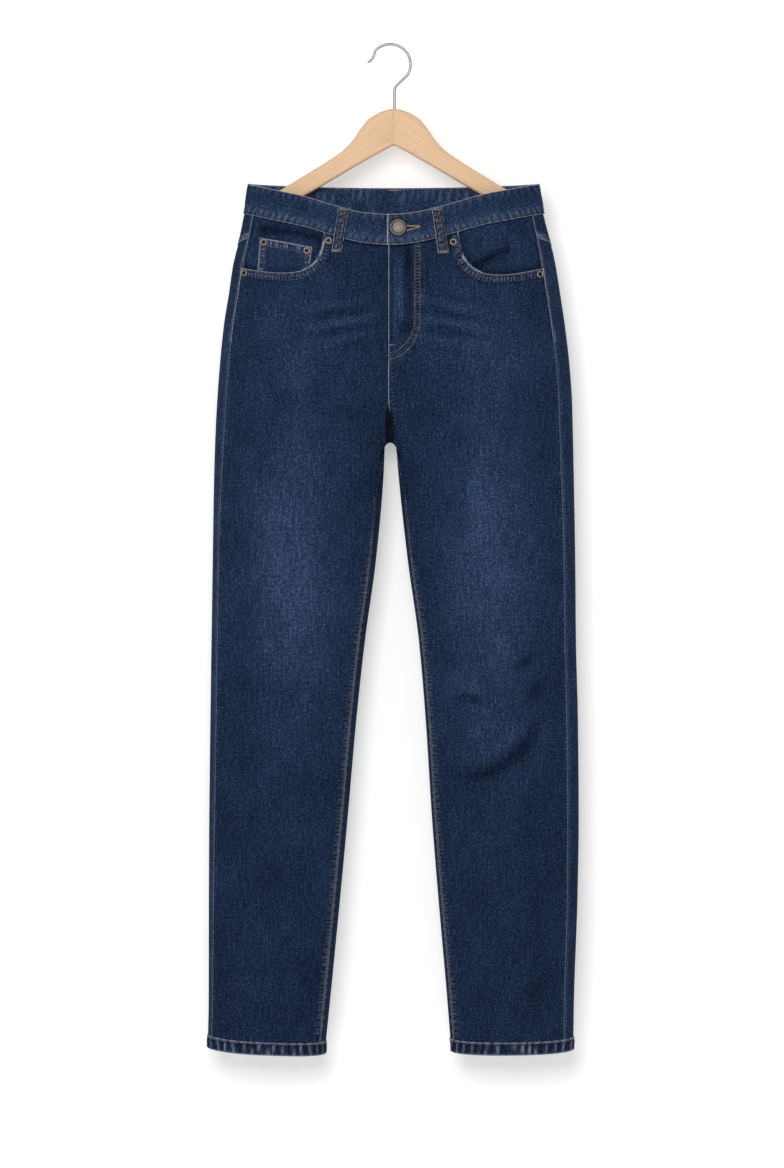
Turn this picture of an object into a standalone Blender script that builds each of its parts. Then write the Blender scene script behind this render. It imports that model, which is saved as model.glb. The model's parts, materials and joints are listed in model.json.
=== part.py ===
"""Girlfriend jeans on a wooden hanger.

Blender 4.5 script. Sizes are in millimetres and become metres in the meshes. +Z is up, the front of the
jeans faces -Y, and the origin is the seat of the rail: the inner top of the hanger's hook. "Right" and
"left" are the wearer's, so the right leg lies at -X.

The cloth follows one form. Each half of the garment, right and left, has a cross-section at every height:
a rounded, flattened loop. From the crotch down it is a leg's closed tube. From the crotch up it opens at
the centre seam, more and more, until both halves together are one loop round the hips. A point of the
form is named by its half, its angle round the section (0 at the outer edge, a half turn at the inner
edge, positive on the front) and its height. Every piece of cloth is a patch of that form with a lift, its
distance out from the form.
"""

import math

import bmesh
import bpy
import numpy as np

MM = 0.001

# Cloth and seams.
DENIM = 1.2
SEAM_GAP = 0.3
LAYER_GAP = 0.5
CORNER = 2.4  # exponent of the section: 2 is an ellipse, more is squarer

# The garment's main lines.
CENTRE_X = 4.7
FLY_EDGE_X = -1.8
CROTCH_X = 0.5
CROTCH_Z = -457.0
ARCH = 7.0  # height over which the legs part below the crotch
WAIST_TOP_Z = -158.7
WAIST_SEAM_Z = -194.0
FRONT_DIP = 37.0  # the front waist hangs this much lower at the centre than at the sides
BACK_DIP = 3.5
HEM_Z = -1155.0
HEM_HEIGHT = 15.0
HEM_PROUD = 1.0
HEM_THICK = 2.9
HEM_BOW = 5.0  # the front of a hem hangs lower than its edges, and the back higher

# Outline of the garment and its depth, front and back of the plane through both side edges.
OUTLINE = {
    "z": (-1150, -1098, -983, -891, -776, -684, -592, -500, -451, -408, -364,
          -321, -287, -254, -227, -194, -159),
    "right_out": (-209.5, -208.5, -208.3, -207.8, -206.5, -205.2, -203.8, -202.3, -200.8, -198.6, -195.3,
                  -190.9, -185.4, -180.6, -174.3, -167.7, -161.9),
    "left_out": (211.0, 211.7, 215.7, 217.2, 216.3, 214.0, 213.2, 211.6, 210.6, 209.4, 206.2,
                 201.1, 196.0, 190.8, 184.9, 176.6, 171.1),
    "front": (20, 20.5, 22, 23, 25, 26.5, 28, 30, 32, 33.5, 34, 33, 31.5, 29.5, 28, 25.5, 23),
    "back": (20, 20.5, 22, 24, 26, 29, 33, 39, 44, 49, 51, 48, 43, 37, 32, 27, 23),
}
# Inner edges of the legs.
LEG_INNER = {
    "z": (-1150, -1098, -983, -891, -776, -684, -592, -500, -464),
    "right": (-74.0, -68.7, -57.4, -48.8, -38.6, -28.6, -16.0, -7.6, -5.9),
    "left": (70.0, 66.0, 55.9, 48.5, 41.1, 33.2, 20.5, 10.4, 7.4),
}
# How far each half's section has closed towards a leg's tube: 1 at the crotch, 0 at the hips.
CLOSING = {"above_crotch": (0, 4, 10, 35, 80, 140, 200), "closed": (1, 0.98, 0.93, 0.80, 0.55, 0.25, 0)}
# Seams that lie on the front, measured in from the outline: the back panels wrap round to them.
SIDE_SEAM = {
    "z": (-1150, -1050, -870, -750, -592, -430, -263, -194),
    "right": (4.6, 5.0, 6.5, 6.9, 6.9, 10.4, 10.6, 10.2),
    "left": (11.0, 11.5, 13.2, 13.2, 13.2, 15.5, 15.5, 12.6),
}
INSEAM = {"right": 6.9, "left": 4.0, "ramp": 60.0}
# Share of the front's dip along the waist, from the centre (0) to the side (1).
WAIST_DIP = {
    "from_centre": (0, 0.05, 0.2, 0.4, 0.6, 0.8, 1),
    "right": (1, 0.997, 0.94, 0.71, 0.43, 0.22, 0),
    "left": (1, 0.99, 0.88, 0.63, 0.365, 0.18, 0),
}
# Slopes of the hems: outer edge up, inner edge down.
HEM_TILT = {"right": 3.5, "left": 1.0}
# The pocket mouths are curves from the waist seam to the side seam, drawn towards two guide points.
POCKET_MOUTH = {
    "right": {"start_x": -75.3, "guides": ((-76.5, -264.0), (-106.0, -270.0)), "side_z": -256.5},
    "left": {"start_x": 78.4, "guides": ((80.0, -268.0), (112.0, -273.0)), "side_z": -257.0},
}
# Soft troughs at the left knee: start, guide point and end as x and z, depth and half-width.
KNEE_FOLDS = (
    {"start": (168, -778), "guide": (150, -838), "end": (78, -842), "depth": 4.5, "width": 9.0},
    {"start": (171, -698), "guide": (157, -708), "end": (139, -717), "depth": 2.6, "width": 7.0},
    {"start": (175, -729), "guide": (170, -738), "end": (162, -746), "depth": 2.2, "width": 6.0},
    {"start": (106, -754), "guide": (95, -751), "end": (82, -750), "depth": 2.2, "width": 6.0},
)

# Heights that every panel's rows share below the hips: close together where the legs part.
SHARED_LEVELS = (-305, -335, -365, -392, -415, -433, -445, -451, -455, -457.6, -459.5, -462, -466, -474, -488,
                 -508, -535, -565, -600, -635, -665)
KNEE_LEVELS = (-690, -703, -716, -729, -742, -755, -768, -781, -794, -806, -817, -828, -839, -850, -864)
SHIN_LEVELS = (-885, -920, -960, -1000, -1040, -1080, -1115)

# The yoke, back pockets and coin pocket.
YOKE_SIDE_Z = -222.0
YOKE_CENTRE_DROP = 42.0
BACK_POCKET = {"from_centre": 97.0, "top_z": -270.0, "top_half": 66.0, "low_half": 57.0, "side": 112.0,
               "point": 24.0, "thick": 1.1, "tilt": 0.07}
COIN_POCKET = {"top_out": (-149.7, -221.8), "top_in": (-89.2, -233.3), "low_in": (-96.0, -286.0),
               "low_out": (-153.5, -280.0), "thick": 0.9}
FACING_THICK = 1.0
FACING_INNER_X = {"right": -60.0, "left": 62.0}
FACING_UNDERLAP = 27.0
FACING_RAMPS = {"seam": 10.0, "mouth_start": 9.0, "mouth": 7.0, "corner": 16.0}  # lengths over which it dips

# The waistband and the fly.
WAISTBAND = 2.4
LAP = {"edge_x": -3.3, "under_x": 36.0, "raise": 1.35, "ramp": 9.0}
FLY = {"facing": 38.0, "facing_low_z": -362.0, "shield": 36.0, "shield_back": 12.0, "shield_low_z": -352.0,
       "zip": 13.0, "zip_x": 11.0, "zip_low_z": -346.0, "thick": 1.0}

# Belt loops: where the top and the bottom of each lie, and on which face.
LOOP = {"width": 11.8, "thick": 1.6, "slack": 2.0}
BELT_LOOPS = {
    "belt_loop_front_right": {"top": -52.8, "low": -61.1, "back": False, "low_z": -239.1},
    "belt_loop_front_left": {"top": 53.3, "low": 61.3, "back": False, "low_z": -240.7},
    "belt_loop_back_right": {"top": -84.0, "low": -85.5, "back": True, "low_z": -210.0},
    "belt_loop_back_left": {"top": 93.4, "low": 94.9, "back": True, "low_z": -210.0},
    "belt_loop_centre": {"top": CENTRE_X, "low": CENTRE_X, "back": True, "low_z": -212.0},
}

# Metal fittings.
BUTTON = {"x": 9.3, "z": -211.5, "radius": 9.7, "height": 4.2}
RIVET = {"radius": 4.2, "height": 1.3}
RIVETS = {
    "rivet_coin_outer": {"x": -144.9, "z": -227.3, "on_coin": True},
    "rivet_coin_inner": {"x": -95.3, "z": -237.4, "on_coin": True},
    "rivet_right_waist": {"x": -70.2, "z": -226.0, "on_coin": False},
    "rivet_right_side": {"x": -167.1, "z": -262.4, "on_coin": False},
    "rivet_left_waist": {"x": 72.5, "z": -227.5, "on_coin": False},
    "rivet_left_side": {"x": 172.0, "z": -264.0, "on_coin": False},
}

# The hanger: wood outline of the right arm from the centre out, and the wire of the hook.
ARM_THICK = 12.0
ARM_ROUNDING = 3.2
ARM_TOP = ((-7.2, -74.6), (-24.4, -83.8), (-34.5, -96.6), (-43.5, -110.6), (-57.4, -124.6))
ARM_NECK_Z = -71.6
ARM_APEX_Z = -113.3
ARM_TIP = ((-126.8, -166.6), (-155.5, -183.2), (-163.0, -187.3), (-165.3, -192.0), (-163.2, -197.6),
           (-156.0, -201.3), (-143.5, -199.0))
ARM_TIP_END = 3  # the row of the tip that reaches the waistband
ARM_TIP_CORNER = 2.15  # the waistband's rounded side leaves this much less room at the tip's corners
ARM_UNDER = (-99.9, -173.8)
WIRE = 3.0
HOOK_RADIUS = 23.3
HOOK_ARC = (138.0, -30.0)
HOOK_TIP = ((-24.4, -18.9), (-21.4, -17.4), (-18.6, -14.0))
SHANK_X = 5.2
SHANK_BEND_Z = (-47.0, -52.5)

COLOURS = {
    "denim": ((0.022, 0.045, 0.125, 1), 0.85, 0.0),
    "zip_tape": ((0.02, 0.03, 0.07, 1), 0.8, 0.0),
    "antique_silver": ((0.34, 0.30, 0.26, 1), 0.4, 1.0),
    "antique_brass": ((0.36, 0.24, 0.12, 1), 0.4, 1.0),
    "beech": ((0.76, 0.50, 0.28, 1), 0.5, 0.0),
    "chrome": ((0.75, 0.75, 0.77, 1), 0.12, 1.0),
}

SIGN = {"right": -1.0, "left": 1.0}


def smooth_table(xs, ys, x):
    """Reads ys at x along a curve through the table that never overshoots its rows."""
    xs, ys = np.asarray(xs, float), np.asarray(ys, float)
    step = np.diff(xs)
    slope = np.diff(ys) / step
    tangent = np.concatenate([slope[:1], np.zeros(len(xs) - 2), slope[-1:]])
    product = slope[:-1] * slope[1:]
    same = product > 0
    tangent[1:-1][same] = (2 * product[same]) / (slope[:-1] + slope[1:])[same]
    x = np.clip(x, xs[0], xs[-1])
    i = np.clip(np.searchsorted(xs, x) - 1, 0, len(xs) - 2)
    t = (x - xs[i]) / step[i]
    return (
        (1 + 2 * t) * (1 - t) ** 2 * ys[i]
        + t * (1 - t) ** 2 * step[i] * tangent[i]
        + t * t * (3 - 2 * t) * ys[i + 1]
        + t * t * (t - 1) * step[i] * tangent[i + 1]
    )


def ease(t):
    t = np.clip(t, 0.0, 1.0)
    return t * t * (3 - 2 * t)


def centre_seam(z, back):
    """x of the centre front or centre back seam, which meet at the crotch."""
    own = np.where(back, CENTRE_X, FLY_EDGE_X)
    return own + (CROTCH_X - own) * ease((-395 - z) / 60)


def inner_edge(side, z, back):
    """x of a half's inner edge: the centre seam, and below the crotch the leg's inner edge."""
    seam = centre_seam(z, back)
    leg = smooth_table(LEG_INNER["z"], LEG_INNER[side], z)
    below = np.clip((CROTCH_Z - z) / ARCH, 0, 1)
    return seam + (leg - seam) * np.sqrt(1 - (1 - below) ** 2)


def outer_edge(side, z):
    return smooth_table(OUTLINE["z"], OUTLINE[side + "_out"], z)


def section(side, z, back):
    """Centre, half-width and closing of a half's section."""
    closed = smooth_table(CLOSING["above_crotch"], CLOSING["closed"], z - CROTCH_Z)
    out = outer_edge(side, z)
    half = np.abs(out - inner_edge(side, z, back)) / (1 + closed)
    return out - SIGN[side] * half, half, closed


def knee_fold(x, z):
    """Depth of the left knee's troughs at a point of the front."""
    total = np.zeros(np.broadcast(x, z).shape)
    for fold in KNEE_FOLDS:
        nearest = np.full(total.shape, 1e9)
        strength = np.zeros(total.shape)
        for t in np.linspace(0, 1, 25):
            px, pz = (
                (1 - t) ** 2 * fold["start"][k] + 2 * t * (1 - t) * fold["guide"][k] + t * t * fold["end"][k]
                for k in (0, 1)
            )
            distance = np.hypot(x - px, z - pz)
            closer = distance < nearest
            nearest = np.where(closer, distance, nearest)
            strength = np.where(closer, math.sin(math.pi * (0.1 + 0.8 * t)), strength)
        total = total + fold["depth"] * strength * np.exp(-((nearest / fold["width"]) ** 2))
    return total


def form_point(side, angle, z, lift=0.0):
    """Points of the form, moved out by lift within the section's plane."""
    angle, z = np.broadcast_arrays(np.asarray(angle, float), np.asarray(z, float))
    c, s = np.cos(angle), np.sin(angle)
    across = np.sign(c) * np.abs(c) ** (2 / CORNER)
    deep = np.abs(s) ** (2 / CORNER)
    back = s < 0
    centre, half, _ = section(side, z, back)
    front_depth = smooth_table(OUTLINE["z"], OUTLINE["front"], z)
    back_depth = smooth_table(OUTLINE["z"], OUTLINE["back"], z)
    depth = np.where(back, back_depth, -front_depth)
    x = centre + SIGN[side] * half * across
    y = depth * deep
    nx = SIGN[side] * np.sign(across) * np.abs(across) ** (CORNER - 1) / half
    ny = np.sign(depth) * deep ** (CORNER - 1) / np.abs(depth)
    length = np.hypot(nx, ny)
    if side == "left":
        lift = lift - np.where(back, 0, knee_fold(x, z))
    return np.stack([x + lift * nx / length, y + lift * ny / length, z], axis=-1)


def angle_at(side, x, z, back=False):
    """Angle of the point at this x on the front or the back of a half."""
    centre, half, _ = section(side, z, back)
    across = np.clip(SIGN[side] * (x - centre) / half, -1, 1)
    turned = np.arccos(np.sign(across) * np.abs(across) ** (CORNER / 2))
    return np.where(back, -turned, turned)


def trimmed(side, angle, z, towards, gap=SEAM_GAP / 2):
    """The angle moved by a gap's width along the section."""
    step = 1e-3
    moved = form_point(side, angle + towards * step, z) - form_point(side, angle, z)
    return angle + towards * gap * step / np.linalg.norm(moved, axis=-1)


def side_angle(side, z):
    """The side seam, on the front just in from the outline."""
    inset = smooth_table(SIDE_SEAM["z"], SIDE_SEAM[side], z)
    return angle_at(side, outer_edge(side, z) - SIGN[side] * inset, z)


def inner_angle(side, z, back):
    """The centre seam and, below the crotch, the inseam, which lies on the front of the leg."""
    _, half, closed = section(side, z, back)
    inset = INSEAM[side] * ease((CROTCH_Z - z) / INSEAM["ramp"])
    reach = np.minimum(closed, 1 - inset / half)
    turned = np.arccos(-(reach ** (CORNER / 2)))
    below = z < CROTCH_Z
    return np.where(back, np.where(below, turned - 2 * math.pi, -turned), turned)


def dip_share(x):
    side = np.where(x < CENTRE_X, -1, 1)
    half = np.abs(np.where(side < 0, OUTLINE["right_out"][-2], OUTLINE["left_out"][-2]) - CENTRE_X)
    away = np.abs(x - CENTRE_X) / half
    right = smooth_table(WAIST_DIP["from_centre"], WAIST_DIP["right"], away)
    left = smooth_table(WAIST_DIP["from_centre"], WAIST_DIP["left"], away)
    return np.where(side < 0, right, left)


def waist_z(x, top, back=False):
    """Height of the waistband's top or of its seam at this x."""
    level = WAIST_TOP_Z if top else WAIST_SEAM_Z
    drop = BACK_DIP * np.clip(1 - ((x - CENTRE_X) / 170) ** 2, 0, 1) if back else FRONT_DIP * dip_share(x)
    return level - drop


def hem_z(side, angle, above=0.0):
    return HEM_Z - HEM_BOW * np.sin(angle) + HEM_TILT[side] * np.cos(angle) + above


def yoke_z(share):
    """Height of the yoke's seam, from the side (0) to the centre back (1)."""
    return YOKE_SIDE_Z - YOKE_CENTRE_DROP * share**1.15


def point_at_x(x, z, lift, back=False):
    """Points of the hips' form by x, on whichever half x lies."""
    x, z, lift = np.broadcast_arrays(np.asarray(x, float), np.asarray(z, float), np.asarray(lift, float))
    on_right = x < centre_seam(z, back)
    right = form_point("right", angle_at("right", x, z, back), z, lift)
    left = form_point("left", angle_at("left", x, z, back), z, lift)
    return np.where(on_right[..., None], right, left)


def outward_at(x, z, reach=6.0):
    """The direction out of the front, level with the cloth for some way round this point."""
    along = point_at_x(x + reach, z, 0.0) - point_at_x(x - reach, z, 0.0)
    up = point_at_x(x, z + reach, 0.0) - point_at_x(x, z - reach, 0.0)
    out = np.cross(along, up)
    return out / np.linalg.norm(out)


def material(name):
    found = bpy.data.materials.get(name)
    if found:
        return found
    colour, roughness, metallic = COLOURS[name]
    made = bpy.data.materials.new(name)
    made.use_nodes = True
    shader = made.node_tree.nodes["Principled BSDF"]
    shader.inputs["Base Color"].default_value = colour
    shader.inputs["Roughness"].default_value = roughness
    shader.inputs["Metallic"].default_value = metallic
    return made


def add_object(name, bm, finish):
    bmesh.ops.recalc_face_normals(bm, faces=bm.faces)
    mesh = bpy.data.meshes.new(name)
    bm.to_mesh(mesh)
    bm.free()
    mesh.materials.append(material(finish))
    mesh.shade_smooth()
    mesh.set_sharp_from_angle(angle=math.radians(40))
    obj = bpy.data.objects.new(name, mesh)
    bpy.context.collection.objects.link(obj)
    return obj


def wall(name, outside, inside, finish="denim", ring=False):
    """A closed wall between two grids of points. A ring's last column joins its first."""
    rows, columns = outside.shape[:2]
    bm = bmesh.new()
    sheets = [
        [[bm.verts.new(point * MM) for point in row] for row in grid]
        for grid in (outside, inside)
    ]
    outer, inner = sheets
    joins = columns if ring else columns - 1
    for sheet in sheets:
        for j in range(rows - 1):
            for i in range(joins):
                k = (i + 1) % columns
                corners = [sheet[j][i], sheet[j][k], sheet[j + 1][k], sheet[j + 1][i]]
                bm.faces.new(corners if sheet is outer else corners[::-1])
    for j in (0, rows - 1):
        for i in range(joins):
            k = (i + 1) % columns
            bm.faces.new([outer[j][i], inner[j][i], inner[j][k], outer[j][k]])
    if not ring:
        for i in (0, columns - 1):
            for j in range(rows - 1):
                bm.faces.new([outer[j][i], outer[j + 1][i], inner[j + 1][i], inner[j][i]])
    bmesh.ops.triangulate(bm, faces=bm.faces)
    return add_object(name, bm, finish)


def pocket_mouth(side, t):
    """x and z along the pocket mouth, from the waist seam (0) to the side seam (1)."""
    mouth = POCKET_MOUTH[side]
    start = (mouth["start_x"], float(waist_z(mouth["start_x"], top=False)))
    end_z = mouth["side_z"]
    end = (float(form_point(side, side_angle(side, end_z), end_z)[0]), end_z)
    points = np.array([start, *mouth["guides"], end])
    weights = np.stack([(1 - t) ** 3, 3 * t * (1 - t) ** 2, 3 * t * t * (1 - t), t**3], axis=-1)
    return (weights @ points).T


def share_at(side, x, z):
    """Share of the way from the inner edge (0) to the side seam (1) of a front's point."""
    inner, outer = inner_angle(side, z, False), side_angle(side, z)
    return (angle_at(side, x, z) - inner) / (outer - inner)


def front_rows(side, along_waist, along_mouth, upper_rows, levels):
    """Share and height of each grid point of a front: its top edge is the waist seam and the pocket mouth."""
    start_x = POCKET_MOUTH[side]["start_x"]
    waist_x = np.linspace(float(centre_seam(-230.0, False)), start_x, along_waist + 1)[:-1]
    mouth_x, mouth_z = pocket_mouth(side, np.linspace(0, 1, along_mouth + 1))
    top_x = np.concatenate([waist_x, mouth_x])
    top_z = np.concatenate([waist_z(waist_x, top=False), mouth_z]) - SEAM_GAP / 2
    top_share = np.clip(share_at(side, top_x, top_z), 0, 1)
    top_share[0], top_share[-1] = 0, 1
    even = np.linspace(0, 1, len(top_x))
    shares, heights = [], []
    fade = upper_rows + 3
    for j in range(upper_rows):
        heights.append(top_z + (levels[0] - top_z) * j / upper_rows)
        shares.append(top_share + (even - top_share) * ease(j / fade))
    for j, level in enumerate(levels):
        heights.append(np.full(len(top_x), float(level)))
        shares.append(top_share + (even - top_share) * ease((upper_rows + j) / fade))
    return np.array(shares), np.array(heights)


def front_panel(side, along_waist=6, along_mouth=9, upper_rows=4):
    levels = SHARED_LEVELS + KNEE_LEVELS + SHIN_LEVELS
    share, z = front_rows(side, along_waist, along_mouth, upper_rows, levels)
    share, z = np.vstack([share, share[-1:]]), np.vstack([z, z[-1:]])
    inner = trimmed(side, inner_angle(side, z, False), z, -1)
    outer = trimmed(side, side_angle(side, z), z, 1)
    angle = inner + (outer - inner) * share
    z[-1] = hem_z(side, angle[-1], HEM_HEIGHT + SEAM_GAP)
    return wall("front_" + side, form_point(side, angle, z), form_point(side, angle, z, -DENIM))


def back_panel(side, columns=13, upper_rows=4):
    levels = np.array(SHARED_LEVELS + KNEE_LEVELS[::2] + SHIN_LEVELS, float)
    share = np.tile(np.linspace(0, 1, columns), (upper_rows + len(levels) + 1, 1))
    top = yoke_z(share[0]) - SEAM_GAP / 2
    upper = [top + (levels[0] - top) * j / upper_rows for j in range(upper_rows)]
    z = np.vstack(upper + [np.full(columns, level) for level in levels] + [np.full(columns, levels[-1])])
    outer = trimmed(side, side_angle(side, z), z, -1)
    inner = trimmed(side, inner_angle(side, z, True), z, 1)
    angle = outer + (inner - outer) * share
    z[-1] = hem_z(side, angle[-1], HEM_HEIGHT + SEAM_GAP)
    return wall("back_" + side, form_point(side, angle, z), form_point(side, angle, z, -DENIM))


def yoke(side, columns=11, rows=4):
    share, down = np.meshgrid(np.linspace(0, 1, columns), np.linspace(0, 1, rows))
    low = yoke_z(share) + SEAM_GAP / 2
    high = np.full_like(low, WAIST_SEAM_Z)
    for _ in range(2):
        z = high + (low - high) * down
        outer = trimmed(side, side_angle(side, z), z, -1)
        inner = trimmed(side, inner_angle(side, z, True), z, 1)
        angle = outer + (inner - outer) * share
        x = form_point(side, angle, z)[..., 0]
        front = np.sin(angle) > 0
        high = np.where(front, waist_z(x, top=False), waist_z(x, top=False, back=True)) - SEAM_GAP / 2
    return wall("yoke_" + side, form_point(side, angle, z), form_point(side, angle, z, -DENIM))


def hem(side, columns=28, rows=3):
    """The turned-up end of a leg, three layers thick, round the whole tube."""
    angle, up = np.meshgrid(np.arange(columns) * 2 * math.pi / columns, np.linspace(0, 1, rows))
    z = hem_z(side, angle, HEM_HEIGHT * up)
    outside = form_point(side, angle, z, HEM_PROUD)
    return wall("hem_" + side, outside, form_point(side, angle, z, HEM_PROUD - HEM_THICK), ring=True)


def facing(side, columns=9, rows=9):
    """The denim inside a pocket mouth. It meets the seams at their level and dips under the front panel."""
    under = 2 * LAYER_GAP + DENIM + (COIN_POCKET["thick"] if side == "right" else 0)
    inner_x = FACING_INNER_X[side]
    across, down = np.meshgrid(np.linspace(0, 1, columns), np.linspace(0, 1, rows))
    mouth_x, mouth_z = pocket_mouth(side, np.linspace(0, 1, 60))
    reach = SIGN[side] * mouth_x

    def x_at(z):
        outer_x = seam_x(side, z, SEAM_GAP)
        return outer_x + (inner_x - outer_x) * across, outer_x

    high = low = np.full(across.shape, -240.0)
    for _ in range(4):
        high = waist_z(x_at(high)[0], top=False) - SEAM_GAP / 2
        x, _ = x_at(low)
        beyond = np.clip((SIGN[side] * (mouth_x[0] - x)) / FACING_RAMPS["corner"], 0, 1)
        low = np.interp(SIGN[side] * x, reach, mouth_z) - FACING_UNDERLAP * (1 - 0.3 * beyond)
    z = high + (low - high) * down
    x, outer_x = x_at(z)
    mouth_here = np.interp(SIGN[side] * x, reach, mouth_z, left=0.0)
    from_seams = np.minimum(np.abs(x - outer_x), high - z) / FACING_RAMPS["seam"]
    to_mouth = (mouth_here + FACING_RAMPS["mouth_start"] - z) / FACING_RAMPS["mouth"]
    lift = -under * (1 - (1 - ease(from_seams)) * (1 - ease(to_mouth)))
    angle = angle_at(side, x, z)
    outside = form_point(side, angle, z, lift)
    return wall("pocket_facing_" + side, outside, form_point(side, angle, z, lift - FACING_THICK))


def bilinear(corners, across, down):
    """Points of a four-cornered patch: corners are top start, top end, low end, low start."""
    a, b, c, d = (np.array(corner) for corner in corners)
    s, t = across[..., None], down[..., None]
    return (1 - t) * ((1 - s) * a + s * b) + t * ((1 - s) * d + s * c)


def coin_pocket(columns=7, rows=6):
    across, down = np.meshgrid(np.linspace(0, 1, columns), np.linspace(0, 1, rows))
    corners = [COIN_POCKET[key] for key in ("top_out", "top_in", "low_in", "low_out")]
    flat = bilinear(corners, across, down)
    outside = -DENIM - LAYER_GAP
    return wall(
        "coin_pocket",
        point_at_x(flat[..., 0], flat[..., 1], outside),
        point_at_x(flat[..., 0], flat[..., 1], outside - COIN_POCKET["thick"]),
    )


def back_pocket(side, columns=9, rows=8):
    size = BACK_POCKET
    across, down = np.meshgrid(np.linspace(-1, 1, columns), np.linspace(0, 1, rows))
    half = size["top_half"] + (size["low_half"] - size["top_half"]) * down
    fall = (size["side"] + size["point"] * (1 - np.abs(across))) * down
    # Local width and drop, turned a little so that the outer corner sits higher.
    wide, drop = across * half, fall
    x = CENTRE_X + SIGN[side] * (size["from_centre"] + wide + size["tilt"] * drop)
    z = size["top_z"] - drop + size["tilt"] * wide
    lift = LAYER_GAP
    return wall(
        "back_pocket_" + side,
        point_at_x(x, z, lift + size["thick"], back=True),
        point_at_x(x, z, lift, back=True),
    )


def lap_lift(x, side):
    """The left end of the waistband lies over the underlap of the right."""
    if side == "left":
        return LAP["raise"] * (1 - ease((x - LAP["under_x"]) / LAP["ramp"]))
    return -LAP["raise"] * ease((x - LAP["edge_x"] + LAP["ramp"]) / LAP["ramp"])


def seam_x(side, z, gap):
    """x of the side seam, less a gap towards the centre."""
    return form_point(side, trimmed(side, side_angle(side, z), z, 1, gap), z)[..., 0]


def waistband_front(side, columns=15, rows=3):
    """Half of the front waistband, with columns at both ends of the lap's slope."""
    edge, under, ramp = LAP["edge_x"], LAP["under_x"], LAP["ramp"]
    lap = [edge, 14, 25, under, under + ramp / 2, under + ramp]
    if side == "right":
        lap = [under, 20, 8, edge, edge - ramp / 2, edge - ramp]
    share = 1 - (1 - np.linspace(0, 1, columns)[1:]) ** 1.5
    up = np.linspace(0, 1, rows)[:, None]
    z = np.full((rows, len(lap) + len(share)), WAIST_SEAM_Z)
    for _ in range(3):
        end = seam_x(side, z[:, -1:], SEAM_GAP / 2)
        x = np.hstack([np.tile(lap, (rows, 1)), lap[-1] + (end - lap[-1]) * share])
        low = waist_z(x, top=False) + SEAM_GAP / 2
        z = low + (waist_z(x, top=True) - low) * up
    outside = point_at_x(x, z, lap_lift(x, side) + WAISTBAND / 2)
    return wall("waistband_front_" + side, outside, point_at_x(x, z, lap_lift(x, side) - WAISTBAND / 2))


def waistband_back(columns=33, rows=3):
    """From side seam to side seam round the back. Its ends wrap to the front."""
    each = columns // 2 + 1
    outside, inside = [], []
    up = np.linspace(0, 1, rows)[:, None]
    share = np.linspace(0, 1, each)[None, :]
    for side in ("right", "left"):
        z = np.full((rows, each), WAIST_SEAM_Z)
        for _ in range(3):
            end = trimmed(side, side_angle(side, z), z, -1)
            angle = end + (-math.pi / 2 - end) * share
            x = form_point(side, angle, z)[..., 0]
            low = waist_z(x, top=False, back=True) + SEAM_GAP / 2
            z = low + (waist_z(x, top=True, back=True) - low) * up
        order = slice(None) if side == "right" else slice(-2, None, -1)
        outside.append(form_point(side, angle, z, WAISTBAND / 2)[:, order])
        inside.append(form_point(side, angle, z, -WAISTBAND / 2)[:, order])
    return wall("waistband_back", np.concatenate(outside, axis=1), np.concatenate(inside, axis=1))


def fly_strip(name, start_x, end_x, low_z, lift, thick, finish="denim", columns=5, rows=8):
    """A strip behind the fly, from the waist seam down, with a column on the centre seam where it crosses."""
    x = np.linspace(start_x, end_x, columns)
    if start_x < FLY_EDGE_X < end_x:
        x[np.abs(x - FLY_EDGE_X).argmin()] = FLY_EDGE_X
    x, down = np.meshgrid(x, np.linspace(0, 1, rows))
    high = waist_z(x, top=False) - SEAM_GAP
    z = high + (low_z - high) * down
    return wall(name, point_at_x(x, z, lift), point_at_x(x, z, lift - thick), finish)


def fly():
    under = -DENIM - LAYER_GAP
    start = FLY_EDGE_X + SEAM_GAP
    fly_strip("fly_facing", start, FLY_EDGE_X + FLY["facing"], FLY["facing_low_z"], under, FLY["thick"])
    under -= FLY["thick"] + LAYER_GAP
    zip_start = FLY["zip_x"] - FLY["zip"]
    fly_strip("zip", zip_start, FLY["zip_x"] + FLY["zip"], FLY["zip_low_z"], under, FLY["thick"], "zip_tape")
    under -= FLY["thick"] + LAYER_GAP
    shield_start = FLY_EDGE_X - FLY["shield_back"]
    fly_strip("fly_shield", shield_start, FLY_EDGE_X + FLY["shield"], FLY["shield_low_z"], under, FLY["thick"])


def belt_loop(name, place, rows=9):
    """A strip held down at both ends, with slack over the waistband."""
    down = np.linspace(0, 1, rows)
    back = place["back"]
    middle = place["top"] + (place["low"] - place["top"]) * down
    high = waist_z(place["top"], top=True, back=back) - LAYER_GAP
    z = high + (place["low_z"] - high) * down
    on_band = WAISTBAND / 2 + LAYER_GAP
    seam = waist_z(middle, top=False, back=back)
    rest = np.where(z > seam - 2.0, on_band, LAYER_GAP)
    lift = np.maximum(rest + LOOP["slack"] * np.sin(math.pi * down) ** 2, rest)
    across = np.linspace(-0.5, 0.5, 3) * LOOP["width"]
    x = middle[:, None] + across[None, :]
    z = np.broadcast_to(z[:, None], x.shape)
    lift = np.broadcast_to(lift[:, None], x.shape)
    return wall(name, point_at_x(x, z, lift + LOOP["thick"], back), point_at_x(x, z, lift, back))


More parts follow.
